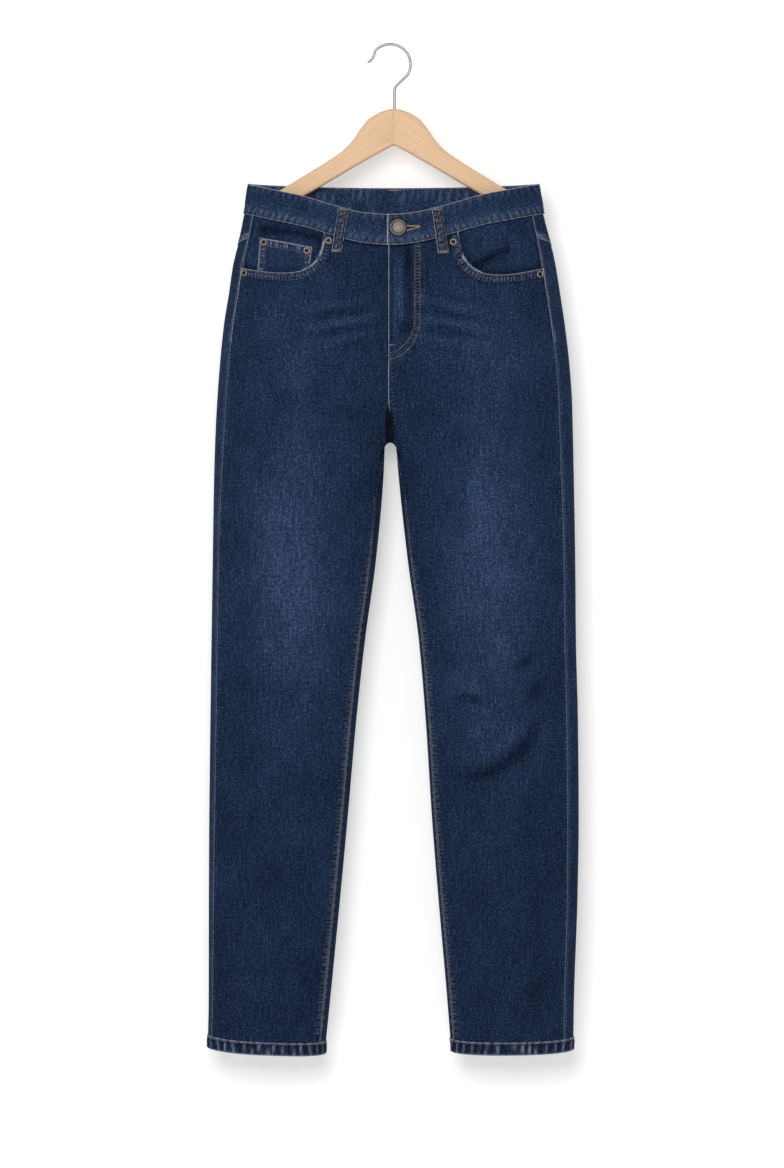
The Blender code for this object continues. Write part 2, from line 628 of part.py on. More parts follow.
def turned(name, profile, sides, finish, place, outward):
    """A turned piece from a profile of radius and height, set on the cloth along its outward direction."""
    tall = [place + outward * height for _, height in profile]
    bm = bmesh.new()
    across = np.array([-outward[1], outward[0], 0.0])
    up = np.array([0.0, 0.0, 1.0])
    rings = []
    for (radius, _), middle in zip(profile, tall):
        turns = [2 * math.pi * k / sides for k in range(sides)] if radius else [0.0]
        spokes = [across * math.cos(a) + up * math.sin(a) for a in turns]
        rings.append([bm.verts.new((middle + spoke * radius) * MM) for spoke in spokes])
    for low, high in zip(rings, rings[1:]):
        for k in range(sides):
            n = (k + 1) % sides
            if len(low) == 1:
                bm.faces.new([low[0], high[k], high[n]])
            elif len(high) == 1:
                bm.faces.new([low[k], low[n], high[0]])
            else:
                bm.faces.new([low[k], low[n], high[n], high[k]])
    return add_object(name, bm, finish)


def button():
    """A shank button's head: a rolled rim round a dished disc with a low dome."""
    r, h = BUTTON["radius"], BUTTON["height"]
    profile = [(0, 0), (r * 0.72, 0), (r * 0.94, h * 0.25), (r, h * 0.55), (r * 0.96, h * 0.86), (r * 0.86, h),
               (r * 0.76, h * 0.9), (r * 0.7, h * 0.62), (r * 0.3, h * 0.7), (0, h * 0.74)]
    lift = WAISTBAND / 2 + LAP["raise"] + LAYER_GAP + SEAM_GAP
    place = point_at_x(BUTTON["x"], BUTTON["z"], lift)
    outward = outward_at(BUTTON["x"], BUTTON["z"])
    return turned("button", profile, 28, "antique_silver", place, outward)


def rivet(name, spot):
    r, h = RIVET["radius"], RIVET["height"]
    profile = [(0, 0), (r * 0.9, 0), (r, h * 0.4), (r * 0.85, h * 0.85), (r * 0.6, h), (r * 0.45, h * 0.6),
               (0, h * 0.7)]
    outward = outward_at(spot["x"], spot["z"])
    lift = -DENIM - LAYER_GAP + SEAM_GAP if spot["on_coin"] else SEAM_GAP
    # A flat disc on a rounded side clears it at the rim.
    lift += 0.2 + 0.5 * abs(outward[0])
    place = point_at_x(spot["x"], spot["z"], lift)
    return turned(name, profile, 14, "antique_brass", place, outward)


def hanger_arm(side):
    """Half of the wooden hanger, from the glued centre seam to the tip that stretches the waistband."""
    seam = CENTRE_X - SEAM_GAP / 2
    drawn = [(seam, ARM_NECK_Z), *ARM_TOP, *ARM_TIP, ARM_UNDER, (seam, ARM_APEX_Z)]
    tip_x, tip_z = ARM_TIP[ARM_TIP_END]
    inside = float(outer_edge(side, tip_z)) - SIGN[side] * (WAISTBAND / 2 + ARM_TIP_CORNER)
    reach = abs(inside - CENTRE_X) / (CENTRE_X - tip_x)
    outline = [
        (CENTRE_X - SIGN[side] * (x - CENTRE_X) * (reach if x < ARM_UNDER[0] else 1.0), z) for x, z in drawn
    ]
    bm = bmesh.new()
    face = bm.faces.new([bm.verts.new((x * MM, -ARM_THICK / 2 * MM, z * MM)) for x, z in outline])
    pushed = bmesh.ops.extrude_face_region(bm, geom=[face])
    moved = [item for item in pushed["geom"] if isinstance(item, bmesh.types.BMVert)]
    bmesh.ops.translate(bm, verts=moved, vec=(0, ARM_THICK * MM, 0))

    def at_seam(vert):
        return abs(vert.co.x - outline[0][0] * MM) < 1e-6

    rim = [
        edge
        for edge in bm.edges
        if abs(edge.verts[0].co.y - edge.verts[1].co.y) < 1e-6 and not all(at_seam(v) for v in edge.verts)
    ]
    bmesh.ops.bevel(bm, geom=rim, offset=ARM_ROUNDING * MM, segments=2, profile=0.6, affect="EDGES")
    bmesh.ops.triangulate(bm, faces=bm.faces)
    return add_object("hanger_arm_" + side, bm, "beech")


def hook():
    """The wire hook: a round bend over the rail, a straight run back to the centre and a shank."""
    centre = (0.4, WIRE / 2 - HOOK_RADIUS)
    start, end = (math.radians(a) for a in HOOK_ARC)
    route = list(HOOK_TIP)
    route += [
        (centre[0] + HOOK_RADIUS * math.cos(a), centre[1] + HOOK_RADIUS * math.sin(a))
        for a in np.linspace(start, end, 18)
    ]
    high, low = SHANK_BEND_Z
    route += [(SHANK_X + 1.6, high - 1.6), (SHANK_X + 0.3, (high + low) / 2 - 1.5), (SHANK_X, low - 1.5)]
    route += [(SHANK_X, ARM_NECK_Z + SEAM_GAP)]
    curve = bpy.data.curves.new("hanger_hook", "CURVE")
    curve.dimensions = "3D"
    curve.bevel_depth = WIRE / 2 * MM
    curve.bevel_resolution = 2
    curve.use_fill_caps = True
    line = curve.splines.new("POLY")
    line.points.add(len(route) - 1)
    for point, (x, z) in zip(line.points, route):
        point.co = (x * MM, 0, z * MM, 1)
    curve.materials.append(material("chrome"))
    obj = bpy.data.objects.new("hanger_hook", curve)
    bpy.context.collection.objects.link(obj)
    return obj


def main():
    for obj in list(bpy.data.objects):
        bpy.data.objects.remove(obj, do_unlink=True)
    for side in SIGN:
        front_panel(side)
        back_panel(side)
        yoke(side)
        hem(side)
        facing(side)
        back_pocket(side)
        waistband_front(side)
        hanger_arm(side)
    waistband_back()
    coin_pocket()
    fly()
    for name, place in BELT_LOOPS.items():
        belt_loop(name, place)
    button()
    for name, spot in RIVETS.items():
        rivet(name, spot)
    hook()


main()
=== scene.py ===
# %% [markdown]
# # Girlfriend jeans on a wooden hanger
# Jeans are flat pieces of denim, cut out, turned in at their edges and sewn together. These hang flat by
# their waistband from a wooden hanger. Here every piece of cloth is a thin closed wall on one shared form,
# so neighbours meet at their seams, and thread, metal and wood are set on top of it.
# Lengths are in millimetres until a mesh is made. "Right" and "left" are the wearer's, so the right leg is
# at -X, and the front faces -Y.

# %% Load the frame
import json
import math

import bmesh
import bpy
import numpy as np
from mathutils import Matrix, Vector
from mathutils.bvhtree import BVHTree

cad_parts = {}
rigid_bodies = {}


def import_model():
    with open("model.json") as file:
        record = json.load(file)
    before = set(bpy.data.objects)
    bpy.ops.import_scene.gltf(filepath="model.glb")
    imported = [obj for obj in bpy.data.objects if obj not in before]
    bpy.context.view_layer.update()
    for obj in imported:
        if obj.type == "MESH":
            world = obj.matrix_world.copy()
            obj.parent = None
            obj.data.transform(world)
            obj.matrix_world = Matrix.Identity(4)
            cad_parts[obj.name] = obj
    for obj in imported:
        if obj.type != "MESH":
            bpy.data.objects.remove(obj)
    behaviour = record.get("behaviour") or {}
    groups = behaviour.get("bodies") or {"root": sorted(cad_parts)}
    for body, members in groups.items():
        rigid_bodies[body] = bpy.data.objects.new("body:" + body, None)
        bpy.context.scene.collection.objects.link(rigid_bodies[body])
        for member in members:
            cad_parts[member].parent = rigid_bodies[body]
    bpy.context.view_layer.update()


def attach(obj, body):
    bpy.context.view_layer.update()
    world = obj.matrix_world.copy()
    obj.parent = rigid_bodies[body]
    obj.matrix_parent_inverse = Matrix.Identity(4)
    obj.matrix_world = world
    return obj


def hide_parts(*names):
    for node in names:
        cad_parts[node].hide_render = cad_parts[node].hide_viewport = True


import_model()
MM = 0.001
SIGN = {"right": -1.0, "left": 1.0}

# %% [markdown]
# ## The form
# A tailor thinks of a garment as sections: how wide and how deep it is at each height. The tables give the
# outline of the hanging jeans, the legs' inner edges and where the seams lie. A smooth curve that never
# overshoots reads them between their rows. CORNER is how square a section is: 2 would make an ellipse.
# SEAM_GAP shows between two sewn pieces, and SEAM_LAP is how far one runs on under the other. The legs part
# over the height ARCH under the crotch, and HEM_BOW is how much lower than its middle the front hem hangs.

# %% Measures of the garment
DENIM = 1.2
SEAM_GAP = 0.12
SEAM_LAP = 1.0
LAYER_GAP = 0.5
CORNER = 2.4
CENTRE_X = 4.7
FLY_EDGE_X = -1.8
CROTCH_X = 0.5
CROTCH_Z = -457.0
RISE_TURN_Z, RISE_TURN = -395, 60
SIDE_TACK_Z = -348
BACK_HALF = 170
ARCH = 7.0
WAIST_TOP_Z = -158.7
WAIST_SEAM_Z = -194.0
FRONT_DIP = 37.0
BACK_DIP = 3.5
HEM_Z = -1155.0
HEM_HEIGHT = 15.0
HEM_PROUD = 1.0
HEM_THICK = 2.9
HEM_BOW = 5.0
OUTLINE = {
    "z": (-1150, -1098, -983, -891, -776, -684, -592, -500, -451, -408, -364,
          -321, -287, -254, -227, -194, -159),
    "right_out": (-209.5, -208.5, -208.3, -207.8, -206.5, -205.2, -203.8, -202.3, -200.8, -198.6, -195.3,
                  -190.9, -185.4, -180.6, -174.3, -167.7, -161.9),
    "left_out": (211.0, 211.7, 215.7, 217.2, 216.3, 214.0, 213.2, 211.6, 210.6, 209.4, 206.2,
                 201.1, 196.0, 190.8, 184.9, 176.6, 171.1),
    "front": (20, 20.5, 22, 23, 25, 26.5, 28, 30, 32, 33.5, 34, 33, 31.5, 29.5, 28, 25.5, 23),
    "back": (20, 20.5, 22, 24, 26, 29, 33, 39, 44, 49, 51, 48, 43, 37, 32, 27, 23),
}
LEG_INNER = {
    "z": (-1150, -1098, -983, -891, -776, -684, -592, -500, -464),
    "right": (-74.0, -68.7, -57.4, -48.8, -38.6, -28.6, -16.0, -7.6, -5.9),
    "left": (70.0, 66.0, 55.9, 48.5, 41.1, 33.2, 20.5, 10.4, 7.4),
}
CLOSING = {"above_crotch": (0, 4, 10, 35, 80, 140, 200), "closed": (1, 0.98, 0.93, 0.80, 0.55, 0.25, 0)}
SIDE_SEAM = {
    "z": (-1150, -1050, -870, -750, -592, -430, -263, -194),
    "right": (4.6, 5.0, 6.5, 6.9, 6.9, 10.4, 10.6, 10.2),
    "left": (11.0, 11.5, 13.2, 13.2, 13.2, 15.5, 15.5, 12.6),
}
INSEAM = {"right": 6.9, "left": 4.0, "ramp": 60.0}
WAIST_DIP = {
    "from_centre": (0, 0.05, 0.2, 0.4, 0.6, 0.8, 1),
    "right": (1, 0.997, 0.94, 0.71, 0.43, 0.22, 0),
    "left": (1, 0.99, 0.88, 0.63, 0.365, 0.18, 0),
}
HEM_TILT = {"right": 3.5, "left": 1.0}
POCKET_MOUTH = {
    "right": {"start_x": -75.3, "guides": ((-76.5, -264.0), (-106.0, -270.0)), "side_z": -256.5},
    "left": {"start_x": 78.4, "guides": ((80.0, -268.0), (112.0, -273.0)), "side_z": -257.0},
}
YOKE_SIDE_Z = -222.0
YOKE_CENTRE_DROP = 42.0
YOKE_SEED = 33

# %% Reading the tables
def smooth_table(xs, ys, x):
    """Reads ys at x along a curve through the table that never overshoots its rows."""
    xs, ys = np.asarray(xs, float), np.asarray(ys, float)
    step = np.diff(xs)
    slope = np.diff(ys) / step
    tangent = np.concatenate([slope[:1], np.zeros(len(xs) - 2), slope[-1:]])
    product = slope[:-1] * slope[1:]
    same = product > 0
    tangent[1:-1][same] = (2 * product[same]) / (slope[:-1] + slope[1:])[same]
    x = np.clip(x, xs[0], xs[-1])
    i = np.clip(np.searchsorted(xs, x) - 1, 0, len(xs) - 2)
    t = (x - xs[i]) / step[i]
    return (
        (1 + 2 * t) * (1 - t) ** 2 * ys[i]
        + t * (1 - t) ** 2 * step[i] * tangent[i]
        + t * t * (3 - 2 * t) * ys[i + 1]
        + t * t * (t - 1) * step[i] * tangent[i + 1]
    )


def ease(t):
    t = np.clip(t, 0.0, 1.0)
    return t * t * (3 - 2 * t)


def bump(distance, width):
    """A soft hill of height 1: it has fallen to a third at this width."""
    return np.exp(-((distance / width) ** 2))


# %% Sections of the two halves
def centre_seam(z, back):
    own = np.where(back, CENTRE_X, FLY_EDGE_X)
    return own + (CROTCH_X - own) * ease((RISE_TURN_Z - z) / RISE_TURN)


def inner_edge(side, z, back):
    seam = centre_seam(z, back)
    leg = smooth_table(LEG_INNER["z"], LEG_INNER[side], z)
    below = np.clip((CROTCH_Z - z) / ARCH, 0, 1)
    return seam + (leg - seam) * np.sqrt(1 - (1 - below) ** 2)


def outer_edge(side, z):
    return smooth_table(OUTLINE["z"], OUTLINE[side + "_out"], z)


def section(side, z, back):
    """Centre, half-width and closing of a half's section."""
    closed = smooth_table(CLOSING["above_crotch"], CLOSING["closed"], z - CROTCH_Z)
    out = outer_edge(side, z)
    half = np.abs(out - inner_edge(side, z, back)) / (1 + closed)
    return out - SIGN[side] * half, half, closed


def form_point(side, angle, z, lift=0.0):
    """Points of the form: angle 0 is the outer edge, half a turn the inner one, positive on the front."""
    angle, z = np.broadcast_arrays(np.asarray(angle, float), np.asarray(z, float))
    c, s = np.cos(angle), np.sin(angle)
    across = np.sign(c) * np.abs(c) ** (2 / CORNER)
    deep = np.abs(s) ** (2 / CORNER)
    back = s < 0
    centre, half, _ = section(side, z, back)
    front_depth = smooth_table(OUTLINE["z"], OUTLINE["front"], z)
    back_depth = smooth_table(OUTLINE["z"], OUTLINE["back"], z)
    depth = np.where(back, back_depth, -front_depth)
    x = centre + SIGN[side] * half * across
    y = depth * deep
    nx = SIGN[side] * np.sign(across) * np.abs(across) ** (CORNER - 1) / half
    ny = np.sign(depth) * deep ** (CORNER - 1) / np.abs(depth)
    length = np.hypot(nx, ny)
    return np.stack([x + lift * nx / length, y + lift * ny / length, z], axis=-1)


def angle_at(side, x, z, back=False):
    centre, half, _ = section(side, z, back)
    across = np.clip(SIGN[side] * (x - centre) / half, -1, 1)
    turned = np.arccos(np.sign(across) * np.abs(across) ** (CORNER / 2))
    return np.where(back, -turned, turned)


def trimmed(side, angle, z, towards, gap=SEAM_GAP / 2):
    step = 1e-3
    moved = form_point(side, angle + towards * step, z) - form_point(side, angle, z)
    return angle + towards * gap * step / np.linalg.norm(moved, axis=-1)


# %% Where the seams lie
def side_angle(side, z):
    inset = smooth_table(SIDE_SEAM["z"], SIDE_SEAM[side], z)
    return angle_at(side, outer_edge(side, z) - SIGN[side] * inset, z)


def inner_angle(side, z, back):
    _, half, closed = section(side, z, back)
    inset = INSEAM[side] * ease((CROTCH_Z - z) / INSEAM["ramp"])
    reach = np.minimum(closed, 1 - inset / half)
    turned = np.arccos(-(reach ** (CORNER / 2)))
    below = z < CROTCH_Z
    return np.where(back, np.where(below, turned - 2 * math.pi, -turned), turned)


def dip_share(x):
    side = np.where(x < CENTRE_X, -1, 1)
    half = np.abs(np.where(side < 0, OUTLINE["right_out"][-2], OUTLINE["left_out"][-2]) - CENTRE_X)
    away = np.abs(x - CENTRE_X) / half
    right = smooth_table(WAIST_DIP["from_centre"], WAIST_DIP["right"], away)
    left = smooth_table(WAIST_DIP["from_centre"], WAIST_DIP["left"], away)
    return np.where(side < 0, right, left)


def waist_z(x, top, back=False):
    level = WAIST_TOP_Z if top else WAIST_SEAM_Z
    if back:
        return level - BACK_DIP * np.clip(1 - ((x - CENTRE_X) / BACK_HALF) ** 2, 0, 1)
    return level - FRONT_DIP * dip_share(x)


def hem_z(side, angle, above=0.0):
    return HEM_Z - HEM_BOW * np.sin(angle) + HEM_TILT[side] * np.cos(angle) + above


def yoke_z(share):
    return YOKE_SIDE_Z - YOKE_CENTRE_DROP * share**1.15


def point_at_x(x, z, lift, back=False):
    """Points of the hips' form by x, on whichever half x lies."""
    x, z, lift = np.broadcast_arrays(np.asarray(x, float), np.asarray(z, float), np.asarray(lift, float))
    on_right = x < centre_seam(z, back)
    right = form_point("right", angle_at("right", x, z, back), z, lift)
    left = form_point("left", angle_at("left", x, z, back), z, lift)
    return np.where(on_right[..., None], right, left)


def seam_x(side, z, gap=0.0):
    return form_point(side, trimmed(side, side_angle(side, z), z, 1, gap), z)[..., 0]


def bezier(points, t):
    """Points along a curve with three or four control points."""
    points = np.array(points, float)
    n = len(points) - 1
    weights = [math.comb(n, k) * (1 - t) ** (n - k) * t**k for k in range(n + 1)]
    return np.stack(weights, axis=-1) @ points


def pocket_mouth(side, t):
    mouth = POCKET_MOUTH[side]
    start = (mouth["start_x"], float(waist_z(mouth["start_x"], top=False)))
    end = (float(seam_x(side, np.array(mouth["side_z"]))), mouth["side_z"])
    return bezier([start, *mouth["guides"], end], t)


print("waist", float(outer_edge("left", -159.0) - outer_edge("right", -159.0)), "mm wide")

# %% [markdown]
# ## Lines on the cloth
# Seams, folds and stitching all follow lines, so one helper measures how far every point of a grid is from
# a line and how far along it lies. Relief, wear and thread then share the same lines and stay together.

# %% Distance to a line
def from_line(x, z, line):
    """Distance to a polyline of x and z, and the length along it at the nearest place."""
    x, z = np.broadcast_arrays(x, z)
    best, along = np.full(x.shape, 1e9), np.zeros(x.shape)
    run = 0.0
    for (ax, az), (bx, bz) in zip(line[:-1], line[1:]):
        dx, dz = bx - ax, bz - az
        length = math.hypot(dx, dz) + 1e-9
        t = np.clip(((x - ax) * dx + (z - az) * dz) / length**2, 0, 1)
        distance = np.hypot(x - ax - t * dx, z - az - t * dz)
        near = distance < best
        best = np.where(near, distance, best)
        along = np.where(near, run + t * length, along)
        run += length
    return best, along


def offset_line(line, distance):
    """The line moved sideways, to the left of its direction."""
    line = np.asarray(line, float)
    along = np.gradient(line, axis=0)
    along /= np.linalg.norm(along, axis=1)[:, None] + 1e-9
    return line + distance * np.stack([-along[:, 1], along[:, 0]], axis=1)


def ripple(x, z, size, seed):
    """Smooth, seeded unevenness of about this size in mm, mostly within -1 and 1."""
    dice = np.random.default_rng(seed)
    total = 0.0
    for _ in range(7):
        turn, phase, stretch = dice.uniform(0, math.pi), dice.uniform(0, 2 * math.pi), dice.uniform(0.6, 1.6)
        wave = (x * math.cos(turn) + z * math.sin(turn)) / (size * stretch)
        total = total + np.sin(2 * math.pi * wave + phase)
    return total / 3.2


def pucker(along, pitch, seed):
    """Uneven gathering along a seam: its pitch wanders and some puckers are weaker."""
    wander = ripple(along, 0 * along, pitch * 9, seed) * 0.55
    strength = 0.7 + 0.3 * ripple(along, 0 * along, pitch * 5, seed + 1)
    return np.sin(2 * math.pi * (along / pitch + wander)) * strength


def rolled(distance, thick):
    """How far both faces of a wall draw in near a free edge, so that the edge is round."""
    radius = thick / 2
    near = 1 - np.clip(distance / radius, 0, 1)
    return radius * 0.97 * (1 - np.sqrt(1 - near**2 * 0.999))


# %% [markdown]
# ## Creases
# Hung cloth isn't smooth. The photograph shows a few troughs at the left knee and soft pulls that run out
# from the crotch. The hidden side gets the creases that wear makes there: curves under the seat and
# across the back of the knees. Each is a bent line with a depth, below zero for a ridge, and a width.

# %% The creases of each face
CREASES = {
    ("left", "front"): (
        (((169, -776), (152, -836), (80, -842)), 7.0, 6.5),
        (((160, -768), (140, -812), (84, -822)), -2.6, 8.0),
        (((186, -790), (170, -856), (96, -866)), -1.6, 9.0),
        (((171, -698), (157, -708), (139, -717)), 5.2, 5.5),
        (((177, -727), (170, -740), (160, -752)), 5.2, 5.0),
        (((110, -756), (95, -749), (80, -750)), 5.8, 4.6),
        (((104, -742), (94, -738), (84, -738)), -1.6, 6.0),
        (((8, -250), (9, -280), (8, -316)), -0.7, 3.0),
        (((60, -700), (90, -716), (120, -712)), 1.0, 9.0),
        (((14, -440), (45, -424), (96, -402)), 1.1, 9.0),
        (((16, -470), (50, -500), (70, -560)), 0.9, 11.0),
        (((40, -330), (80, -338), (130, -326)), 0.6, 8.0),
    ),
    ("right", "front"): (
        (((-10, -440), (-46, -420), (-92, -396)), 1.2, 9.0),
        (((-12, -474), (-44, -505), (-60, -570)), 0.9, 11.0),
        (((-60, -730), (-100, -748), (-150, -736)), 0.8, 10.0),
        (((-52, -790), (-90, -800), (-130, -786)), 0.7, 10.0),
        (((-40, -318), (-85, -330), (-135, -318)), 0.6, 8.0),
    ),
    ("left", "back"): (
        (((18, -448), (90, -486), (186, -452)), 3.2, 9.0),
        (((24, -476), (96, -508), (176, -484)), 1.6, 9.0),
        (((52, -716), (112, -738), (188, -708)), 2.8, 8.0),
        (((50, -752), (110, -770), (182, -748)), 2.0, 8.0),
        (((56, -786), (100, -800), (160, -790)), 1.2, 8.0),
    ),
    ("right", "back"): (
        (((-14, -450), (-84, -490), (-178, -458)), 3.2, 9.0),
        (((-20, -480), (-88, -512), (-168, -488)), 1.5, 9.0),
        (((-44, -722), (-104, -744), (-180, -712)), 2.6, 8.0),
        (((-44, -758), (-104, -778), (-176, -756)), 2.0, 8.0),
        (((-50, -690), (-96, -700), (-150, -688)), 1.2, 8.0),
    ),
}


def creased(side, face, x, z):
    """Depth of all the creases at points of a face."""
    total = np.zeros(np.broadcast(x, z).shape)
    for path, depth, width in CREASES[side, face]:
        line = bezier(path, np.linspace(0, 1, 13))
        distance, along = from_line(x, z, line)
        length = np.linalg.norm(np.diff(line, axis=0), axis=1).sum()
        strength = np.sin(math.pi * (0.08 + 0.84 * along / length))
        total += depth * strength * bump(distance, width)
    return total


# %% [markdown]
# ## Fading
# Indigo wears off where the cloth stands proud: down the middle of the thighs, over the knees and on the
# seat. A few soft ellipses say where, each with its middle, its half-width, its half-height and strength.

# %% The faded places
FADES = {
    "front": (
        (-110, -585, 56, 190, 0.68), (-118, -620, 72, 140, 0.28), (-105, -330, 78, 72, 0.40),
        (112, -572, 54, 190, 0.68), (120, -600, 72, 140, 0.26), (106, -330, 78, 72, 0.42),
        (-120, -900, 40, 200, 0.10), (130, -900, 40, 200, 0.10), (112, -765, 46, 60, 0.24),
    ),
    "back": (
        (-105, -370, 62, 80, 0.75), (112, -370, 62, 80, 0.75), (-112, -620, 44, 190, 0.45),
        (118, -620, 44, 190, 0.45), (-118, -1000, 40, 160, 0.15), (126, -1000, 40, 160, 0.15),
    ),
}


def faded(face, x, z, seed=11):
    total = np.zeros(np.broadcast(x, z).shape)
    for middle_x, middle_z, wide, tall, strength in FADES[face]:
        total += strength * bump(np.hypot((x - middle_x) / wide, (z - middle_z) / tall), 1.0)
    return total + 0.05 * ripple(x, z, 90, seed)


# %% [markdown]
# ## From grid to cloth
# A piece of cloth is a grid of points on the outside, the same grid on the inside, and a rim that joins
# them. Each point also carries how faded it is, together with painted shade in creases, along seams and
# under edges, and how worn it is, and the grid has a UV map in metres that the weave follows.

# %% Build a wall of cloth
PIECES = {}


def steps_along(points, axis):
    """Length from the first point of each row or column."""
    step = np.linalg.norm(np.diff(points, axis=axis), axis=-1)
    return np.insert(np.cumsum(step, axis=axis), 0, 0.0, axis=axis)


def linked(name, data):
    """A new object in the scene for a mesh, a light or a camera."""
    obj = bpy.data.objects.new(name, data)
    bpy.context.collection.objects.link(obj)
    return obj


def store(mesh, label, values, kind="FLOAT"):
    """Keeps a number or a vector at every point of a mesh, for materials and trees to read."""
    data = mesh.attributes.new(label, kind, "POINT").data
    data.foreach_set("value" if kind == "FLOAT" else "vector", np.asarray(values, np.float32).ravel())


TURN = np.linspace(-2 * math.pi, math.pi, 1501)
flat_x = np.sign(np.cos(TURN)) * np.abs(np.cos(TURN)) ** (2 / CORNER)
flat_y = 0.26 * np.sign(np.sin(TURN)) * np.abs(np.sin(TURN)) ** (2 / CORNER)
ARC = np.insert(np.cumsum(np.hypot(np.diff(flat_x), np.diff(flat_y))), 0, 0.0)


def weave_u(side, angle, z, back):
    """Length across the cloth in mm, counted so that the warp threads run straight down."""
    centre, half, _ = section(side, z, back)
    away = np.interp(angle, TURN, ARC) - np.interp(-math.pi / 2 if back else math.pi / 2, TURN, ARC)
    return centre + SIGN[side] * half * away * (1 if back else -1)


def wall(name, outside, inside, fade_and_shade, wear, lining=1.0, ring=False, u=None, inner_fade_and_light=None,
         ticks=(0.0, 0.0)):
    """A closed wall between two grids in mm. A ring's last column joins its first.

    Ticks are the small puckers that each stitch draws: a count along the seam and how strong they are.
    """
    rows, columns = outside.shape[:2]
    wide = columns + int(ring)
    wrap = np.arange(wide) % columns
    whole = outside[:, wrap]
    if u is None:
        u = steps_along(whole, 1)
    places = np.stack([u * MM, whole[..., 2] * MM], axis=-1)
    vertex = np.arange(2 * rows * columns).reshape(2, rows, columns)[:, :, wrap].ravel()
    grid = np.arange(2 * rows * wide).reshape(2, rows, wide)
    a, b = grid
    faces = [np.stack([g[:-1, :-1], g[:-1, 1:], g[1:, 1:], g[1:, :-1]], -1).reshape(-1, 4) for g in (a, b)]
    faces[1] = faces[1][:, ::-1]
    faces.append(np.stack([a[0, 1:], a[0, :-1], b[0, :-1], b[0, 1:]], -1))
    faces.append(np.stack([a[-1, :-1], a[-1, 1:], b[-1, 1:], b[-1, :-1]], -1))
    if not ring:
        faces.append(np.stack([a[:-1, 0], a[1:, 0], b[1:, 0], b[:-1, 0]], -1))
        faces.append(np.stack([a[1:, -1], a[:-1, -1], b[:-1, -1], b[1:, -1]], -1))
    corners = np.concatenate(faces)
    points = np.concatenate([outside.reshape(-1, 3), inside.reshape(-1, 3)]) * MM
    quads = vertex[corners]
    p, q, r, s = (points[quads[:, k]] for k in range(4))
    volume = (np.cross(q, r) * p).sum() + (np.cross(r, s) * p).sum()
    if volume < 0:
        corners, quads = corners[:, ::-1], quads[:, ::-1]
    mesh = bpy.data.meshes.new(name)
    mesh.from_pydata(points.tolist(), [], quads.tolist())
    layer = mesh.uv_layers.new(name="cloth")
    both = np.concatenate([places.reshape(-1, 2)] * 2)
    layer.data.foreach_set("uv", both[corners].ravel())
    count, strength = ticks
    hidden_fade_and_shade = fade_and_shade if inner_fade_and_light is None else inner_fade_and_light
    # The first value holds the indigo's fading together with painted shade.
    for label, shown, hidden in (("fade_and_shade", fade_and_shade, hidden_fade_and_shade), ("wear", wear, wear), ("lining", 0.0, lining),
                                 ("tick_count", count, count), ("tick_strength", strength, strength)):
        store(mesh, label, [np.broadcast_to(value, (rows, columns)) for value in (shown, hidden)])
    mesh.shade_smooth()
    mesh.set_sharp_from_angle(angle=math.radians(50))
    PIECES[name] = linked("cloth_" + name, mesh)
    return PIECES[name]


def crowded(count, crowd=0.1):
    """Shares from 0 to 1, closer together at both ends."""
    t = np.linspace(0, 1, count)
    return t - crowd * np.sin(2 * math.pi * t)


# %% [markdown]
# ## Front panels
# A front runs from the waist seam and the curved pocket mouth down to the hem. Its inner edge is the fly
# and the rise, then the inseam. The wall stays on the form, and small lifts make what sewing does to it:
# the turned-in pocket edge stands up and gathers between its two rows of stitches, the fly laps over from
# the left, and the seams pull the cloth in.

# %% Lines of the front
def down_line(xs, zs):
    return np.stack([np.broadcast_to(xs, np.shape(zs)), zs], axis=1)


def inseam_line(side, inset=0.0, step=12.0):
    z = np.arange(CROTCH_Z - 14, HEM_Z + HEM_HEIGHT + 8, -step)
    x = form_point(side, trimmed(side, inner_angle(side, z, False), z, -1, max(inset, 0.01)), z)[:, 0]
    return down_line(x, z)


def side_line(side, inset, top, low, step=12.0):
    """A line beside the side seam. Its inset is above zero on the front and below zero on the back."""
    z = np.append(np.arange(top, low, -step), low)
    moved = trimmed(side, side_angle(side, z), z, math.copysign(1, inset), abs(inset))
    return down_line(form_point(side, moved, z)[:, 0], z)


def fly_line(x, low_z):
    """One row of the fly's curved stitching, from the waist seam to the fly's edge."""
    curve = bezier([(x, -313.0), (x - 0.5, low_z + 17), (x * 0.5, low_z + 3), (FLY_EDGE_X + 1.0, low_z)],
                   np.linspace(0, 1, 14))
    top = float(waist_z(x, top=False)) - 1.5
    return np.vstack([[(x, top), (x, -275.0)], curve])


MOUTHS = {side: pocket_mouth(side, np.linspace(0, 1, 40)) for side in SIGN}
FLY_ROWS = (fly_line(34.4, -362.0), fly_line(28.5, -355.4))


# %% Build both fronts
LEVELS = np.concatenate([np.arange(-305, -450, -2.7), np.arange(-450, -470, -1.1),
                         np.arange(-470, -1138, -2.7)])
FRONT_COLUMNS = (42, 56)
FRONT_UPPER_ROWS = 34


def share_at(side, x, z):
    inner, outer = inner_angle(side, z, False), side_angle(side, z)
    return (angle_at(side, x, z) - inner) / (outer - inner)


